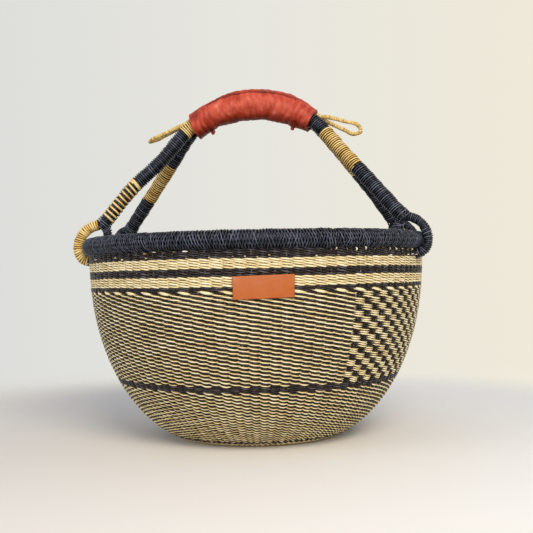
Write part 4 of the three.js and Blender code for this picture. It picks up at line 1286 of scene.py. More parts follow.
def fleck_seat(degrees, height, length, row, lean, tone):
    """A seat for a short end of straw that pokes out of the wall."""
    angle = math.radians(degrees - 90)
    outward = Vector((math.cos(angle), math.sin(angle), 0))
    radius = float(np.interp(height, ARC_HEIGHT, ARC_RADIUS)) + FLECK_LIFT
    up = Vector((0, 0, 1))
    up.rotate(Matrix.Rotation(math.radians(lean), 3, outward))
    place = outward * radius + Vector((0, 0, height))
    values = {"pitch": length, "row": row, "full": FULL_SHARE, "fall": 0.0, "tone": tone}
    return {"place": place, "up": up, "in": -outward, **values}


def make_flecks():
    """Flecks under the rim where new straw was joined in, and specks in the dark rows."""
    chance = np.random.default_rng(FLECK_SEED)
    step = 360 / STAKES
    seats = []
    for first, last, length, row, lean in FLECK_RUNS.values():
        for degrees in np.arange(first, last, step):
            size = chance.choice(FLECK_SIZES)
            height = RIM_HEIGHT - RIM_TUBE_RADIUS - chance.uniform(0, row)
            swing = chance.uniform(*lean)
            seats.append(fleck_seat(degrees, height, length * size, row * size, swing, chance.random()))
    for stake in range(STAKES):
        if chance.random() < SPECK_SHARE:
            degrees = PATCH_FROM_DEGREES + step * (stake + 0.5)
            height = SPECK_HEIGHT + SPECK_ROW * chance.normal()
            length = SPECK_LENGTH * chance.uniform(*SPECK_SIZES)
            seats.append(fleck_seat(degrees, height, length, SPECK_ROW, 0, chance.random()))
    piece = grow("undyed_ends", seat_mesh("undyed_ends", seats), STITCHES, Straw=NATURAL_STRAW)
    return dress(piece, "woven_straw", "woven_bowl")


make_flecks()

# %% [markdown]
# ## Legs, feet and crotches
# Every leg is whipped in three stretches, dark, undyed and dark, or undyed first on the leg that
# also has stripes. The straw is changed by laying the new one under the last turns of the old.
# The stripes are one undyed straw wound over dark ones with gaps between its turns, and it starts
# with two turns side by side. The straw runs on a little way under the leather of the grip. The
# foot loops are wound more finely, because the strand is thinner and bends sharply. Bands of
# colour on a smooth tube would be simpler, but the turns give the legs their ribbed outline and
# catch the light one by one, so each stretch is a winding of its own.

# %% Sizes of the whippings
BINDING_UP = 2.5 * MM
BINDING_DOWN = 4 * MM
BINDING_THICKNESS = 0.9 * MM
STRIPED_LEG = "left_front"
STRIPE_TURNS = 10
STRIPE_HALF_WIDTH = 1.4 * MM
STRIPE_STAND = 0.25 * MM
STRIPE_SLEEVE_DEPTH = 3 * MM
FIRST_STRIPE_SHARE = 0.07
WOUND_FOOT = "left_front"
FINE_WINDING = {"Straw Pitch": 2.1 * MM, "Straw Half Width": 0.95 * MM, "Unevenness": 0.5 * MM}
# The undyed straw starts near this point of the loop, out and up, and ends at this angle
LOOP_WINDING_FROM_SHARES = (-0.5, 1.66)
LOOP_WINDING_TO_DEGREES = -72
LOOP_WINDING = {
    "Straw Pitch": 2.5 * MM,
    "Straw Half Width": 1.3 * MM,
    "Straw Half Thickness": 0.95 * MM,
    "Seed": 41.0,
}
STEM_HALF_WIDTH = 2.3 * MM
STEM_HALF_THICKNESS = 2.1 * MM
ARCH_STEMS = 6
LEFT_HANDED = -1.0
LEG_SEED_STEP = 3.1
STRIPE_STEPS = 24
CROTCH_SEED = 51.0
CROTCH_POINTS = 12


def whip_leg(name, path, grip_share, foot_share):
    """The three stretches of straw on a leg, from the grip to the foot."""
    length = length_of(path)
    toward = math.copysign(1, foot_share - grip_share)
    first = grip_share + toward * GRIP_END_GAP / length
    last = foot_share - toward * (BINDING_UP + CLEARANCE) / length
    changes = [first + (last - first) * share for share in (0, *WRAP_CHANGE_SHARES[name], 1)]
    changes[0] = grip_share - toward * UNDER_LEATHER / length
    natural_place = 0 if name == STRIPED_LEG else 1
    for i, place in enumerate(("upper", "middle", "lower")):
        stretch = cut(path, changes[i], changes[i + 1])
        natural = i == natural_place
        striped = name == STRIPED_LEG and place == "lower"
        radius = LEG_RADIUS - (STRIPE_STAND if striped else 0.0)
        straw = GOLDEN_STRAW if natural else NAVY_STRAW
        settings = {"Hand": LEFT_HANDED, "Seed": len(name) * LEG_SEED_STEP + i}
        piece = wind(f"{name}_whipping_{place}", stretch, FRONT, radius, straw, **settings)
        dress(piece, "natural_straw" if natural else "dark_straw", f"{name}_wrap_{place}")
        if striped:
            whip_stripes(name, stretch)


def whip_stripes(name, stretch):
    """One undyed straw with gaps between its turns, and a close start of the same straw."""
    radius = LEG_RADIUS + STRIPE_STAND
    settings = {
        "Straw Half Width": STRIPE_HALF_WIDTH,
        "Steps": STRIPE_STEPS,
        "Hand": LEFT_HANDED,
        "Swell": 0.0,
        "Sleeve Depth": STRIPE_SLEEVE_DEPTH,
    }
    apart = {**settings, "Straw Pitch": length_of(stretch) / STRIPE_TURNS}
    start = cut(stretch, 0, FIRST_STRIPE_SHARE)
    for label, path, turns in (("stripes", stretch, apart), ("first_stripe", start, settings)):
        piece = wind(f"{name}_{label}", path, FRONT, radius, GOLDEN_STRAW, **turns)
        dress(piece, "natural_straw", f"{name}_stripe_winding")


def whip_foot(name, foot):
    """The straw round a foot loop, undyed on the outside of one of them."""
    path, across = foot.path, foot.across
    dark = cut(path, 0, 1)
    if name == WOUND_FOOT:
        end = math.radians(LOOP_WINDING_TO_DEGREES)
        first = share_near(path, foot.at(*LOOP_WINDING_FROM_SHARES))
        last = share_near(path, foot.at(math.cos(end), math.sin(end)))
        dark = np.concatenate([cut(path, last, 1), cut(path, 0, first)[1:]])
    piece = wind(f"{name}_loop_whipping", dark, across, STRAND_RADIUS, NAVY_STRAW, **FINE_WINDING)
    dress(piece, "dark_straw", f"{name}_foot_loop")
    if name == WOUND_FOOT:
        pale = cut(path, first, last)
        label = f"{name}_undyed_whipping"
        piece = wind(label, pale, across, WOUND_FOOT_RADIUS, GOLDEN_STRAW, **LOOP_WINDING)
        dress(piece, "natural_straw", f"{name}_loop_winding", f"{name}_foot_loop")


def bind_crotch(name, foot, direction, start):
    """Straw round the end of the leg and the neck of the foot loop."""
    top = start + direction * BINDING_UP
    bottom = foot.apex - direction * BINDING_DOWN
    shares = np.linspace(0, 1, CROTCH_POINTS)
    path = np.array([list(top.lerp(bottom, share)) for share in shares])
    swell = np.sin(shares * math.pi / 2)
    wide = LEG_RADIUS + BINDING_THICKNESS * swell
    deep = LEG_RADIUS + (STRAND_RADIUS + CLEARANCE + BINDING_THICKNESS - LEG_RADIUS) * swell
    settings = {"high": deep, "Seed": CROTCH_SEED}
    piece = wind(f"{name}_crotch_whipping", path, foot.outward, wide, NAVY_STRAW, **settings)
    dress(piece, "dark_straw", f"{name}_crotch_binding")


def make_arch(name):
    """One arch with its stems, whippings, feet and bindings."""
    path, feet, legs = ARCHES[name]
    size = (STEM_HALF_WIDTH, STEM_HALF_THICKNESS)
    whole = cut(path, 0, 1)
    stems = bundle(f"{name}_arch_stems", whole, FRONT, ARCH_CORE_RADIUS, ARCH_STEMS, *size)
    dress(stems, "grass_stems", f"{name}_arch_core")
    for side, foot_share in (("left", 0), ("right", 1)):
        direction, start, end, _ = legs[side]
        whip_leg(f"{side}_{name}", path, share_near(path, end), foot_share)
        whip_foot(f"{side}_{name}", feet[side])
        bind_crotch(f"{side}_{name}", feet[side], direction, start)


make_arch("front")
make_arch("back")

# %% [markdown]
# ## Hanging loops
# A thin cord of wound straw is laid in at each end of the grip and comes out as a small hairpin.
# The left one is seen on edge, and the right one has turned over and shows its opening. A bent
# tube with a striped material would do from far off. The cord is wound like the legs, because
# then both loops come from one function, which only gets another droop and another twist.

# %% Sizes of the hanging loops
HANG_CORD_RADIUS = 2.4 * MM
HANG_SPACING = 1 * MM
HANG_LOOP_LENGTH = 50 * MM
# One strand of the hairpin: reach and spread, as shares of the loop's length
HANG_LOOP_SHARES = [(0, 0.054), (0.15, 0.06), (0.3, 0.068), (0.62, 0.096), (0.86, 0.116)]
HANG_TWIST_SHARE = 0.3
# Side, how far it droops and how far it is twisted, in degrees
HANG_LOOPS = {"left": (-1, 23, 0), "right": (1, 22, 90)}
HANG_WINDING = {
    "Straw Pitch": 1.5 * MM,
    "Straw Half Width": 0.82 * MM,
    "Straw Half Thickness": 0.4 * MM,
    "Steps": 10,
    "Unevenness": 0.3 * MM,
    "Straying": 0.8 * MM,
    "Swell": 0.8 * MM,
    "Seed": 61.0,
}


def hang_path(side, drop_degrees, twist_degrees):
    """A hairpin that leaves the grip over the legs and may turn on edge."""
    drop = math.radians(drop_degrees)
    along = Vector((side * math.cos(drop), 0, -math.sin(drop)))
    rise = Vector((side * math.sin(drop), 0, math.cos(drop)))
    reach = LEG_RADIUS + HANG_CORD_RADIUS + 2 * CLEARANCE
    height = math.sqrt(reach**2 - (ARCH_OFFSET - HANG_CORD_RADIUS - CLEARANCE) ** 2)
    end = side * GRIP_END_ANGLE
    out = Vector((side * math.cos(end), 0, -abs(math.sin(end))))
    up = Vector((math.sin(end), 0, math.cos(end)))
    leave = grip_point(end, 0) + up * height + out * CLEARANCE
    base = leave + out * 2 * HANG_CORD_RADIUS
    strands = []
    for sign in (1, -1):
        points = [leave - FRONT * sign * HANG_LOOP_SHARES[0][1] * HANG_LOOP_LENGTH]
        for reach_share, spread_share in HANG_LOOP_SHARES:
            twist = math.radians(twist_degrees) * min(1, reach_share / HANG_TWIST_SHARE)
            spread = sign * spread_share * HANG_LOOP_LENGTH
            point = base + along * reach_share * HANG_LOOP_LENGTH
            points.append(point - FRONT * spread * math.cos(twist) + rise * spread * math.sin(twist))
        strands.append(points)
    tip = base + along * HANG_LOOP_LENGTH
    path = smooth_path(strands[0] + [tip] + strands[1][::-1])
    return path, (FRONT if twist_degrees else rise)


CORD_LENGTHS = [length_of(hang_path(*loop)[0]) for loop in HANG_LOOPS.values()]
print("the hanging loops are cords of", [round(length / MM) for length in CORD_LENGTHS], "mm")


# %% Hanging loops
def make_hang_loop(name):
    """The cord and the straw that is wound round it, as one piece."""
    path, side = hang_path(*HANG_LOOPS[name])
    cord = cut(path, 0, 1, HANG_SPACING)
    piece = wind(f"hang_loop_{name}_cord", cord, side, HANG_CORD_RADIUS, GOLDEN_STRAW, **HANG_WINDING)
    dress(piece, "natural_straw", f"hang_loop_{name}")


make_hang_loop("left")
make_hang_loop("right")

# %% [markdown]
# ## Leather
# The grip is goat leather, dyed red, wrapped wet round a padding of straw and lapped on the top.
# As it dries it shrinks into fine wrinkles across the grip. Dye sits dark in the folds and rubs
# off the crests, and shade falls in the folds. So the mesh keeps a tone for each point as an
# attribute, from how high it stands, with painted shade in the folds and on the underside and
# painted light on the front, and the material reads it. The label on the wall is smooth tan
# leather, and it is left bare here.

# %% Leather materials
FOLD_WIDTH = 2.1 * MM
FOLD_LENGTH = 8 * MM
FOLD_DEPTH = 1.2 * MM
FOLD_STRENGTH = 0.7
GRAIN_STRENGTH = 0.6
FINE_GRAIN_SHARE = 0.6
CLOUDS_PER_METRE = 90.0
CLOUD_SHARE = 0.8
MIDDLE_TONE = 0.4
DULL_STEP = 0.2
LEATHER_IOR = 1.5
LEATHER_SHINE = 0.3


def fold_noise(tree, place):
    """Fine folds across the grip, drawn along the arc of its axis."""
    axes = add(tree, "ShaderNodeSeparateXYZ", {"Vector": place}).outputs
    centre = {0: axes["Z"], 1: GRIP_AXIS_HEIGHT - GRIP_BEND_RADIUS}
    rise = add(tree, "ShaderNodeMath", centre, operation="SUBTRACT")
    turn = add(tree, "ShaderNodeMath", {0: axes["X"], 1: rise}, operation="ARCTAN2")
    run = add(tree, "ShaderNodeMath", {0: turn, 1: GRIP_BEND_RADIUS / FOLD_WIDTH}, operation="MULTIPLY")
    wide = add(tree, "ShaderNodeMath", {0: axes["Y"], 1: FOLD_LENGTH}, operation="DIVIDE")
    high = add(tree, "ShaderNodeMath", {0: rise, 1: FOLD_LENGTH}, operation="DIVIDE")
    across = add(tree, "ShaderNodeCombineXYZ", {"X": run, "Y": wide, "Z": high})
    return add(tree, "ShaderNodeTexNoise", {"Vector": across, "Scale": 1.0, "Detail": 3.0, "Roughness": 0.6})


def leather_material(name, tones, roughness, grain, depth, folds):
    """Leather: dark in the folds and paler on the crests, as dye and painted shade, with a pebbled grain."""
    material, tree = new_material(name)
    place = add(tree, "ShaderNodeTexCoord").outputs["Object"]
    creases = fold_noise(tree, place)
    crest = add(tree, "ShaderNodeAttribute", attribute_name="crest").outputs["Fac"]
    cloud = add(tree, "ShaderNodeTexNoise", {"Vector": place, "Scale": CLOUDS_PER_METRE, "Detail": 4.0})
    mixed = add(tree, "ShaderNodeMath", {0: cloud, 1: CLOUD_SHARE, 2: crest}, operation="MULTIPLY_ADD")
    # Dye and painted shade: the colour follows the fine folds, darker in them
    folded = add(tree, "ShaderNodeMath", {0: creases, 1: folds, 2: mixed}, operation="MULTIPLY_ADD")
    centred = {0: folded, 1: MIDDLE_TONE + folds / 2}
    shifted = add(tree, "ShaderNodeMath", centred, operation="SUBTRACT")
    colour = add(tree, "ShaderNodeValToRGB", {"Fac": shifted})
    set_ramp(colour, tones)
    pebbles = add(tree, "ShaderNodeTexVoronoi", {"Vector": place, "Scale": 1 / grain})
    fine = add(tree, "ShaderNodeTexNoise", {"Vector": place, "Scale": 2 / grain, "Detail": 3.0})
    skin_height = {0: fine, 1: FINE_GRAIN_SHARE, 2: pebbles}
    both = add(tree, "ShaderNodeMath", skin_height, operation="MULTIPLY_ADD")
    ribs = {"Strength": FOLD_STRENGTH, "Distance": folds * FOLD_DEPTH, "Height": creases}
    ribbed = add(tree, "ShaderNodeBump", ribs)
    pores = {"Strength": GRAIN_STRENGTH, "Distance": depth, "Height": both, "Normal": ribbed}
    bump = add(tree, "ShaderNodeBump", pores)
    dull = {"To Min": roughness, "To Max": roughness + DULL_STEP}
    gloss = add(tree, "ShaderNodeMapRange", {"Value": cloud, **FIBRE_SPAN, **dull})
    finish = {"Base Color": colour, "Roughness": gloss, "Normal": bump, "IOR": LEATHER_IOR}
    finish["Specular IOR Level"] = LEATHER_SHINE
    shader = add(tree, "ShaderNodeBsdfPrincipled", finish)
    add(tree, "ShaderNodeOutputMaterial", {"Surface": shader})
    return material


print("the fine folds of the leather are", round(FOLD_WIDTH / MM, 1), "mm apart")

# %% The two leathers
RED_TONES = [(0.0, "#55150A"), (0.3, "#8F2915"), (0.5, "#B33B25"), (0.75, "#D05A40"), (1.0, "#EA9078")]
TAN_TONES = [(0.0, "#8A4718"), (0.35, "#B65D24"), (0.65, "#B86635"), (1.0, "#CC845E")]

# Thin goat skin, dyed and put on wet: satin, with folds that hold the dye and painted shade, and crests
# rubbed pink
RED_FINISH = {"roughness": 0.42, "grain": 0.9 * MM, "depth": 0.12 * MM, "folds": 0.5}
RED_LEATHER = leather_material("red_dyed_goat_leather", RED_TONES, **RED_FINISH)

# Rolled and oiled cow leather: nearly even, with a finer grain, and painted a little paler at its top as
# painted light
TAN_FINISH = {"roughness": 0.42, "grain": 0.5 * MM, "depth": 0.05 * MM, "folds": 0.1}
TAN_LEATHER = leather_material("smooth_tan_leather", TAN_TONES, **TAN_FINISH)
print("two leathers are ready")


# %% [markdown]
# All the leather of the grip lies on one surface, so it is given by a function: a share of the
# grip's length, an angle round it and a lift over the padding give a point. It could be sculpted,
# but then the collars and the seam would have to be fitted to it by hand. Each piece is a skin
# over rings of such points.

# %% Grip surface
END_TILTS = {"left": math.radians(1.9), "right": math.radians(0.7)}


def bell(offset, width):
    """1 in the middle, and near to 0 at twice the width to either side."""
    return math.exp(-((offset / width) ** 2))


def grip_height(share):
    """Half the height of the grip at a share of its length, on a smooth line through its sizes."""
    sizes = GRIP_HEIGHT_SHARES
    place = min(max(share, 0.0), 1.0) * (len(sizes) - 1)
    i = min(int(place), len(sizes) - 2)
    t = place - i
    a, b, c, d = (sizes[min(max(k, 0), len(sizes) - 1)] for k in (i - 1, i, i + 1, i + 2))
    leave, arrive = (c - a) / 2, (d - b) / 2
    curve = (2 * b - 2 * c + leave + arrive) * t**3 + (3 * c - 3 * b - 2 * leave - arrive) * t**2
    return GRIP_HALF_HEIGHT * (curve + leave * t + b)


def grip_surface(share, angle, lift):
    """A point of the grip's skin: angle 90 is the top, and 180 faces the front."""
    place = 2 * share - 1
    tilt = END_TILTS["left" if place < 0 else "right"]
    turn = place * GRIP_END_ANGLE - tilt * place**3 * math.sin(angle)
    rise = Vector((math.sin(turn), 0, math.cos(turn)))
    across = (GRIP_HALF_DEPTH + lift) * math.cos(angle)
    up = (grip_height(share) + lift) * math.sin(angle)
    return grip_point(turn, 0) + FRONT * across + rise * up


def skin(name, rings, crests, leather, closed=True):
    """A skin over rings of points. The rings join up in a circle, or are capped at both ends."""
    count, sides = len(rings), len(rings[0])
    points = [point for ring in rings for point in ring]
    faces = []
    for i in range(count if closed else count - 1):
        here, there = i * sides, (i + 1) % count * sides
        for j in range(sides):
            k = (j + 1) % sides
            faces.append((here + j, there + j, there + k, here + k))
    if not closed:
        faces.append(tuple(range(sides)))
        faces.append(tuple(reversed(range((count - 1) * sides, count * sides))))
    mesh = bpy.data.meshes.new(name)
    mesh.from_pydata(points, [], faces)
    values = [value for ring in crests for value in ring]
    mesh.attributes.new("crest", "FLOAT", "POINT").data.foreach_set("value", values)
    mesh.shade_smooth()
    mesh.materials.append(leather)
    piece = bpy.data.objects.new(name, mesh)
    bpy.context.scene.collection.objects.link(piece)
    return piece


print("the grip is", round(2 * grip_height(0.5) / MM), "mm high in its middle")


# %% [markdown]
# The leather has shrunk into wrinkles across the grip, over a padding that swells here and there.
# A bump in the material alone would leave the outline smooth, where the real one is uneven. So
# both are in the mesh, from two noises, and only the finer folds are left to the material.

# %% Leather of the grip
LEATHER_THICKNESS = 1.8 * MM
GRIP_COLUMNS = 150
GRIP_ROWS = 84
INNER_RINGS = 12
GRIP_LENGTH = 2 * GRIP_END_ANGLE * GRIP_BEND_RADIUS
WRINKLE_SPACING = 4.6 * MM
WRINKLE_DEPTH = 0.9 * MM
WRINKLE_GAIN = 1.5
WRINKLES_ROUND = 0.9
WRINKLE_SWAY = 0.9
SWAY_LENGTH = 5
LUMP_SIZE = 16 * MM
LUMP_DEPTH = 0.8 * MM
LUMPS_ROUND = 1.4
LUMP_SEED = 7
CREST_MIDDLE = 0.5
CREST_STEP = 0.1
# Painted shade under the grip and painted light on its front
UNDERSIDE_SHADE = 0.3
UNDERSIDE_FROM = -0.5
FRONT_PAINTED_LIGHT = 0.14


def wrinkle(share, angle):
    """How high a wrinkle stands at a place on the grip, from -1 to 1."""
    run = share * GRIP_LENGTH / WRINKLE_SPACING
    sway = WRINKLE_SWAY * math.sin(angle * 2 + run / SWAY_LENGTH)
    spot = Vector((run + sway, WRINKLES_ROUND * math.cos(angle), WRINKLES_ROUND * math.sin(angle)))
    return WRINKLE_GAIN * noise.noise(spot)


def lump(share, angle):
    """The slow swellings of the padding below the leather, from -1 to 1."""
    run = share * GRIP_LENGTH / LUMP_SIZE
    spot = Vector((run, LUMPS_ROUND * math.cos(angle), LUMPS_ROUND * math.sin(angle) + LUMP_SEED))
    return noise.noise(spot)


def leather_lift(share, angle):
    """How far the leather stands out at a place, and its tone there, with painted light and shade."""
    fold = wrinkle(share, angle)
    swell = lump(share, angle)
    lift = WRINKLE_DEPTH / 2 * fold + LUMP_DEPTH * swell
    # Painted shade on the underside, and painted light on the front face, which faces the lamps
    shade = UNDERSIDE_SHADE * min(0.0, math.sin(angle) - UNDERSIDE_FROM)
    light_and_shade = FRONT_PAINTED_LIGHT * max(0.0, -math.cos(angle)) ** 2
    return lift, CREST_MIDDLE + CREST_STEP * fold + CREST_STEP * swell + shade + light_and_shade


def make_grip_leather():
    """The leather tube, wrinkled outside and plain inside."""
    rings, crests = [], []
    angles = [2 * math.pi * j / GRIP_ROWS for j in range(GRIP_ROWS)]
    for i in range(GRIP_COLUMNS + 1):
        share = i / GRIP_COLUMNS
        lifts = [leather_lift(share, angle) for angle in angles]
        rings.append([grip_surface(share, a, lift) for a, (lift, _) in zip(angles, lifts)])
        crests.append([light_and_shade for _, light_and_shade in lifts])
    for i in range(INNER_RINGS, -1, -1):
        share = i / INNER_RINGS
        rings.append([grip_surface(share, angle, -LEATHER_THICKNESS) for angle in angles])
        crests.append([0.0] * GRIP_ROWS)
    return dress(skin("grip_red_leather", rings, crests, RED_LEATHER), "red_leather", "grip_leather")


make_grip_leather()

# %% [markdown]
# At each end a narrow strip of the same leather is wound over itself about four times and pulled
# tight. Four separate rings would show four closed edges, where the real strip runs on as one
# slanting line. So the collar is one skin with a ridge that climbs by one strip's width in each
# turn, stronger in some places than in others.

# %% Collars at both ends of the grip
COLLAR_THICKNESS = 1.5 * MM
COLLAR_SHARE = 2 / 12
COLLAR_COLUMNS = 60
COLLAR_INNER_RINGS = 4
COLLAR_SHADE = -0.08
COLLAR_THINNING = 0.7
THIN_FROM_SHARE = 0.85
THIN_RUN_SHARE = 0.15
COLLAR_RIDGES = 4
COLLAR_RIDGE_HEIGHT = 0.5 * MM
RIDGE_STRAY = 0.9
RIDGE_STRAY_FINENESS = 3
RIDGE_STRENGTH = 0.6
RIDGE_CHANGE = 0.9
RIDGE_CHANGES = 40
RIDGE_EDGE_SHARE = 0.15
RIDGE_LEVEL_SHARE = 0.4
RIDGE_WEAR = 0.1
FOLLOW_SHARE = 0.7


def collar_ring(share, run, top):
    """One ring of a collar: a narrow strip wound over itself, with its edges as ridges."""
    ring, light_and_shade = [], []
    for j in range(GRIP_ROWS):
        angle = 2 * math.pi * j / GRIP_ROWS
        stray = RIDGE_STRAY * lump(share * RIDGE_STRAY_FINENESS, angle)
        edge = (run * COLLAR_RIDGES + j / GRIP_ROWS + stray) % 1.0
        spot = Vector((share * RIDGE_CHANGES, math.cos(angle), math.sin(angle)))
        strength = RIDGE_STRENGTH + RIDGE_CHANGE * noise.noise(spot)
        step = edge - bell(1 - edge, RIDGE_EDGE_SHARE)
        height = COLLAR_RIDGE_HEIGHT * (step - RIDGE_LEVEL_SHARE) * strength
        below, crest = leather_lift(share, angle)
        lift = top * (CLEARANCE + COLLAR_THICKNESS + height + FOLLOW_SHARE * below)
        ring.append(grip_surface(share, angle, lift))
        # The collar takes the grip's painted light and shade, a little darker, and paler towards the raised
        # edge of each strip
        light_and_shade.append(crest + COLLAR_SHADE + RIDGE_WEAR * (edge - 0.5) if top else 0.0)
    return ring, light_and_shade


def collar_place(side, run):
    """The share of the grip's length at a share of the collar's width, from the end inwards."""
    return run * COLLAR_SHARE if side == "left" else 1 - run * COLLAR_SHARE


def make_collar(side):
    """A collar from the end of the grip inwards, thin at its inner edge."""
    rings, crests = [], []
    for i in range(COLLAR_COLUMNS + 1):
        run = i / COLLAR_COLUMNS
        top = 1 - COLLAR_THINNING * max(0.0, run - THIN_FROM_SHARE) / THIN_RUN_SHARE
        ring, light_and_shade = collar_ring(collar_place(side, run), run, top)
        rings.append(ring)
        crests.append(light_and_shade)
    for i in range(COLLAR_INNER_RINGS, -1, -1):
        run = i / COLLAR_INNER_RINGS
        ring, light_and_shade = collar_ring(collar_place(side, run), run, 0.0)
        rings.append(ring)
        crests.append(light_and_shade)
    if side == "right":
        rings, crests = rings[::-1], crests[::-1]
    piece = skin(f"grip_{side}_collar", rings, crests, RED_LEATHER)
    return dress(piece, "red_leather", f"grip_collar_{side}")


make_collar("left")
make_collar("right")

# %% [markdown]
# The two edges of the sheet meet on the top. One of them is folded under and lapped over the
# other, so that it ends in a rolled front edge with a gap below it, darkened by painted shade. A
# line drawn in the material would have no thickness from the side, so the lap is a strip of its
# own that follows the wrinkles, thick along its front edge and thin at the back. The lap is
# painted a little darker, as shade on the top of the grip.

# %% Seam along the top of the grip
SEAM_START_SHARE = 0.02
SEAM_SPAN_SHARE = 0.96
SEAM_FROM = math.radians(72)
SEAM_TO = math.radians(134)
SEAM_END_TO = math.radians(112)
SEAM_STRAY = math.radians(7)
SEAM_STRAYS = 11
SEAM_STRAY_SEED = 3
SEAM_THICKNESS = 1.1 * MM
SEAM_COLUMNS = 140
SEAM_ROWS = 14
SEAM_SUNK = 0.4 * MM
SEAM_WAVE_HEIGHT = 0.5 * MM
SEAM_WAVES = 37
SEAM_WAVE_SEED = 5
SEAM_SHADE = 0.06
ROLL_SWELL = 0.4
ROLL_PLACE_SHARE = 0.88
ROLL_WIDTH_SHARE = 0.12
BACK_RISE = 6
FRONT_FALL = 9
FRONT_EDGE_SHARE = 0.15
GAP_SHADE = 0.4
GAP_SHARE = 0.08


def seam_ring(share, reach):
    """One section of the lap: its top from back to front, and its underside back again."""
    overs = [j / (SEAM_ROWS - 1) for j in range(SEAM_ROWS)]
    ring, light_and_shade = [], []
    for over in overs:
        angle = SEAM_FROM + (reach - SEAM_FROM) * over
        roll = 1 + ROLL_SWELL * bell(over - ROLL_PLACE_SHARE, ROLL_WIDTH_SHARE)
        thin = min(1.0, BACK_RISE * over, FRONT_FALL * (1 - over) + FRONT_EDGE_SHARE)
        thick = SEAM_THICKNESS * roll * thin
        lift, fold = leather_lift(share, angle)
        spot = Vector((share * SEAM_WAVES, over * 2, SEAM_WAVE_SEED))
        wave = SEAM_WAVE_HEIGHT * noise.noise(spot)
        ring.append(grip_surface(share, angle, lift + thick + wave))
        # Painted shade: the lap is darker on the top of the grip, and darkest in the gap under its rolled
        # edge
        light_and_shade.append(fold - SEAM_SHADE - GAP_SHADE * bell(1 - over, GAP_SHARE))
    for over in reversed(overs):
        angle = SEAM_FROM + (reach - SEAM_FROM) * over
        ring.append(grip_surface(share, angle, leather_lift(share, angle)[0] - SEAM_SUNK))
        light_and_shade.append(0.0)
    return ring, light_and_shade


def make_seam():
    """The edge of the leather, lapped over the top and rolled under at the front."""
    rings, crests = [], []
    for i in range(SEAM_COLUMNS + 1):
        share = SEAM_START_SHARE + SEAM_SPAN_SHARE * i / SEAM_COLUMNS
        ends = math.sin(math.pi * share) ** 0.5
        reach = SEAM_END_TO + (SEAM_TO - SEAM_END_TO) * ends
        spot = Vector((share * SEAM_STRAYS, SEAM_STRAY_SEED, 0))
        reach += SEAM_STRAY * noise.noise(spot)
        ring, light_and_shade = seam_ring(share, reach)
        rings.append(ring)
        crests.append(light_and_shade)
    piece = skin("grip_seam", rings, crests, RED_LEATHER, closed=False)
    return dress(piece, "red_leather", "grip_seam_flap")


make_seam()

# %% [markdown]
# Inside, stems laid round both arches give the grip its girth. They show only as the ends at both
# sides, and are the bundle of stems once more. Below the collars hang the ends of the thong, each
# pulled tight into a small folded knot. A knot tied along a path would be finer, but at this size
# it is a ball with one deep fold round it.

# %% Padding and knots of the grip
PADDING_STEMS = 22
PADDING_POINTS = 60
PADDING_STEM_HALF_WIDTH = 1.9 * MM
PADDING_STEM_HALF_THICKNESS = 1.2 * MM
KNOT_RADIUS = 2.8 * MM
KNOT_SHARE = 0.8
KNOT_SHIFT_SHARE = 0.013
KNOT_LIFTS = {"left": 2.3 * MM, "right": 1.2 * MM}
KNOT_SIDES = 16
KNOT_SHAPE_SHARES = (0.9, 0.8, 1.0)
KNOT_LUMP_SHARE = 0.3
KNOT_LUMPS = 2
KNOT_FOLD_SLANT = 0.5
KNOT_FOLD_WIDTH = 0.22
KNOT_FOLD_SHARE = 0.25
KNOT_FOLD_SHADE = 0.4


def make_padding():
    """Stems laid round both arches inside the leather, which give the grip its girth."""
    shares = np.linspace(0, 1, PADDING_POINTS)
    path = np.array([list(grip_surface(share, 0, -GRIP_HALF_DEPTH)) for share in shares])
    inside = LEATHER_THICKNESS + CLEARANCE
    high = np.array([grip_height(share) for share in shares]) - inside
    size = (PADDING_STEM_HALF_WIDTH, PADDING_STEM_HALF_THICKNESS)
    wide = GRIP_HALF_DEPTH - inside
    piece = bundle("grip_padding_stems", path, FRONT, wide, PADDING_STEMS, *size, high=high)
    return dress(piece, "grass_stems", "grip_binding")


def make_knot(side):
    """The end of a thong, pulled into a small folded knot below the collar."""
    share = KNOT_SHARE * COLLAR_SHARE
    share = share - KNOT_SHIFT_SHARE if side == "left" else 1 - share + KNOT_SHIFT_SHARE
    centre = grip_surface(share, -math.pi / 2, COLLAR_THICKNESS + KNOT_LIFTS[side])
    wide, deep, tall = KNOT_SHAPE_SHARES
    rings, crests = [], []
    for i in range(1, KNOT_SIDES):
        rise = math.pi * i / KNOT_SIDES
        ring, light_and_shade = [], []
        for j in range(KNOT_SIDES):
            turn = 2 * math.pi * j / KNOT_SIDES
            out = Vector((math.sin(rise) * math.cos(turn), math.sin(rise) * math.sin(turn), math.cos(rise)))
            fold = bell(out.z + KNOT_FOLD_SLANT * out.x, KNOT_FOLD_WIDTH)
            swell = KNOT_LUMP_SHARE * noise.noise(out * KNOT_LUMPS)
            size = KNOT_RADIUS * (1 - KNOT_FOLD_SHARE * fold + swell)
            ring.append(centre + Vector((wide * out.x, deep * out.y, tall * out.z)) * size)
            # Painted shade in the fold round the knot
            light_and_shade.append(CREST_MIDDLE - KNOT_FOLD_SHADE * fold)
        rings.append(ring)
        crests.append(light_and_shade)
    piece = skin(f"grip_{side}_knot", rings, crests, RED_LEATHER, closed=False)
    return dress(piece, "red_leather", f"grip_knot_{side}")


make_padding()
make_knot("left")
make_knot("right")

# %% [markdown]
# ## Label
# A patch of smooth tan leather is fixed to the front, just below the rim. It bends with the wall,
# and its cut edges are rubbed round and burnished a little darker, with painted shade on them. It
# is painted paler towards its top and darker to the right, as painted light. A flat box would
# stand off the wall at its ends, so its points are set over the wall one by one, closer together
# towards the edges, where it is rounded. It stays bare here.

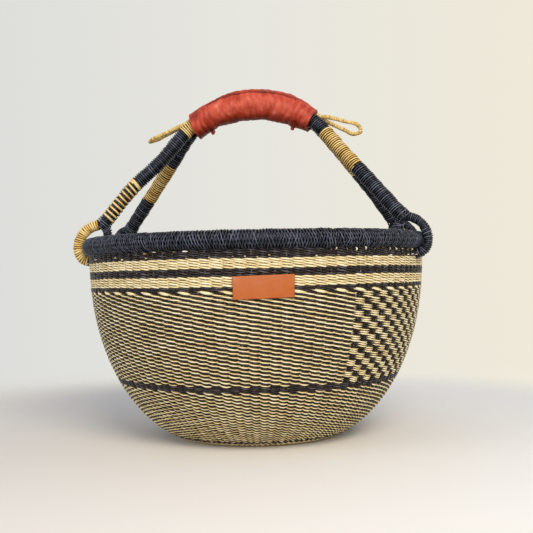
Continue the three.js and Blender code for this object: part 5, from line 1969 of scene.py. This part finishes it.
# %% Label
LABEL_WIDTH = 60.2 * MM
LABEL_HEIGHT = 22.8 * MM
LABEL_THICKNESS = 1.6 * MM
LABEL_DROP = 39.8 * MM
LABEL_TILT = 1.3 * MM
LABEL_ANGLE = math.radians(12.15 - 90)
LABEL_COLUMNS = 48
LABEL_ROWS = 28
LABEL_EDGE = 0.9 * MM
LABEL_EDGE_SHARE = 0.4
LABEL_TONE = 0.42
LABEL_BACK_TONE = 0.3
LABEL_EDGE_SHADE = 0.3
LABEL_TOP_LIGHT = 0.3
LABEL_SIDE_SHADE = 0.12


def label_point(across, up, lift):
    """A point over the wall, with both shares counted from the label's lower left corner."""
    height = WALL_TOP - LABEL_DROP + LABEL_HEIGHT * (up - 0.5) + LABEL_TILT * (across - 0.5)
    angle = LABEL_ANGLE + LABEL_WIDTH / MOUTH_RADIUS * (across - 0.5)
    radius = float(np.interp(height, ARC_HEIGHT, ARC_RADIUS)) + lift
    return Vector((radius * math.cos(angle), radius * math.sin(angle), height))


def make_label():
    """The patch, as rings round its section from one end to the other."""
    rings, crests = [], []
    for i in range(LABEL_COLUMNS + 1):
        across = (1 - math.cos(math.pi * i / LABEL_COLUMNS)) / 2
        front, light_and_shade = [], []
        for j in range(LABEL_ROWS + 1):
            up = (1 - math.cos(math.pi * j / LABEL_ROWS)) / 2
            near = min(min(across, 1 - across) * LABEL_WIDTH, min(up, 1 - up) * LABEL_HEIGHT)
            inward = min(1.0, near / LABEL_EDGE)
            flat = math.sqrt(1 - (1 - inward) ** 2)
            rounded = LABEL_EDGE_SHARE + (1 - LABEL_EDGE_SHARE) * flat
            front.append(label_point(across, up, CLEARANCE + LABEL_THICKNESS * rounded))
            # Painted light and shade: paler towards the top, darker to the right, and darker on the rounded
            # edges, which are also burnished
            shade = LABEL_TONE - LABEL_EDGE_SHADE * (1 - inward)
            light_and_shade.append(shade + LABEL_TOP_LIGHT * up - LABEL_SIDE_SHADE * across)
        back = [label_point(across, up, CLEARANCE) for up in (1.0, 0.0)]
        rings.append(front + back)
        crests.append(light_and_shade + [LABEL_BACK_TONE] * 2)
    piece = skin("label_tan_leather", rings, crests, TAN_LEATHER, closed=False)
    return dress(piece, "tan_leather", "label_patch")


make_label()
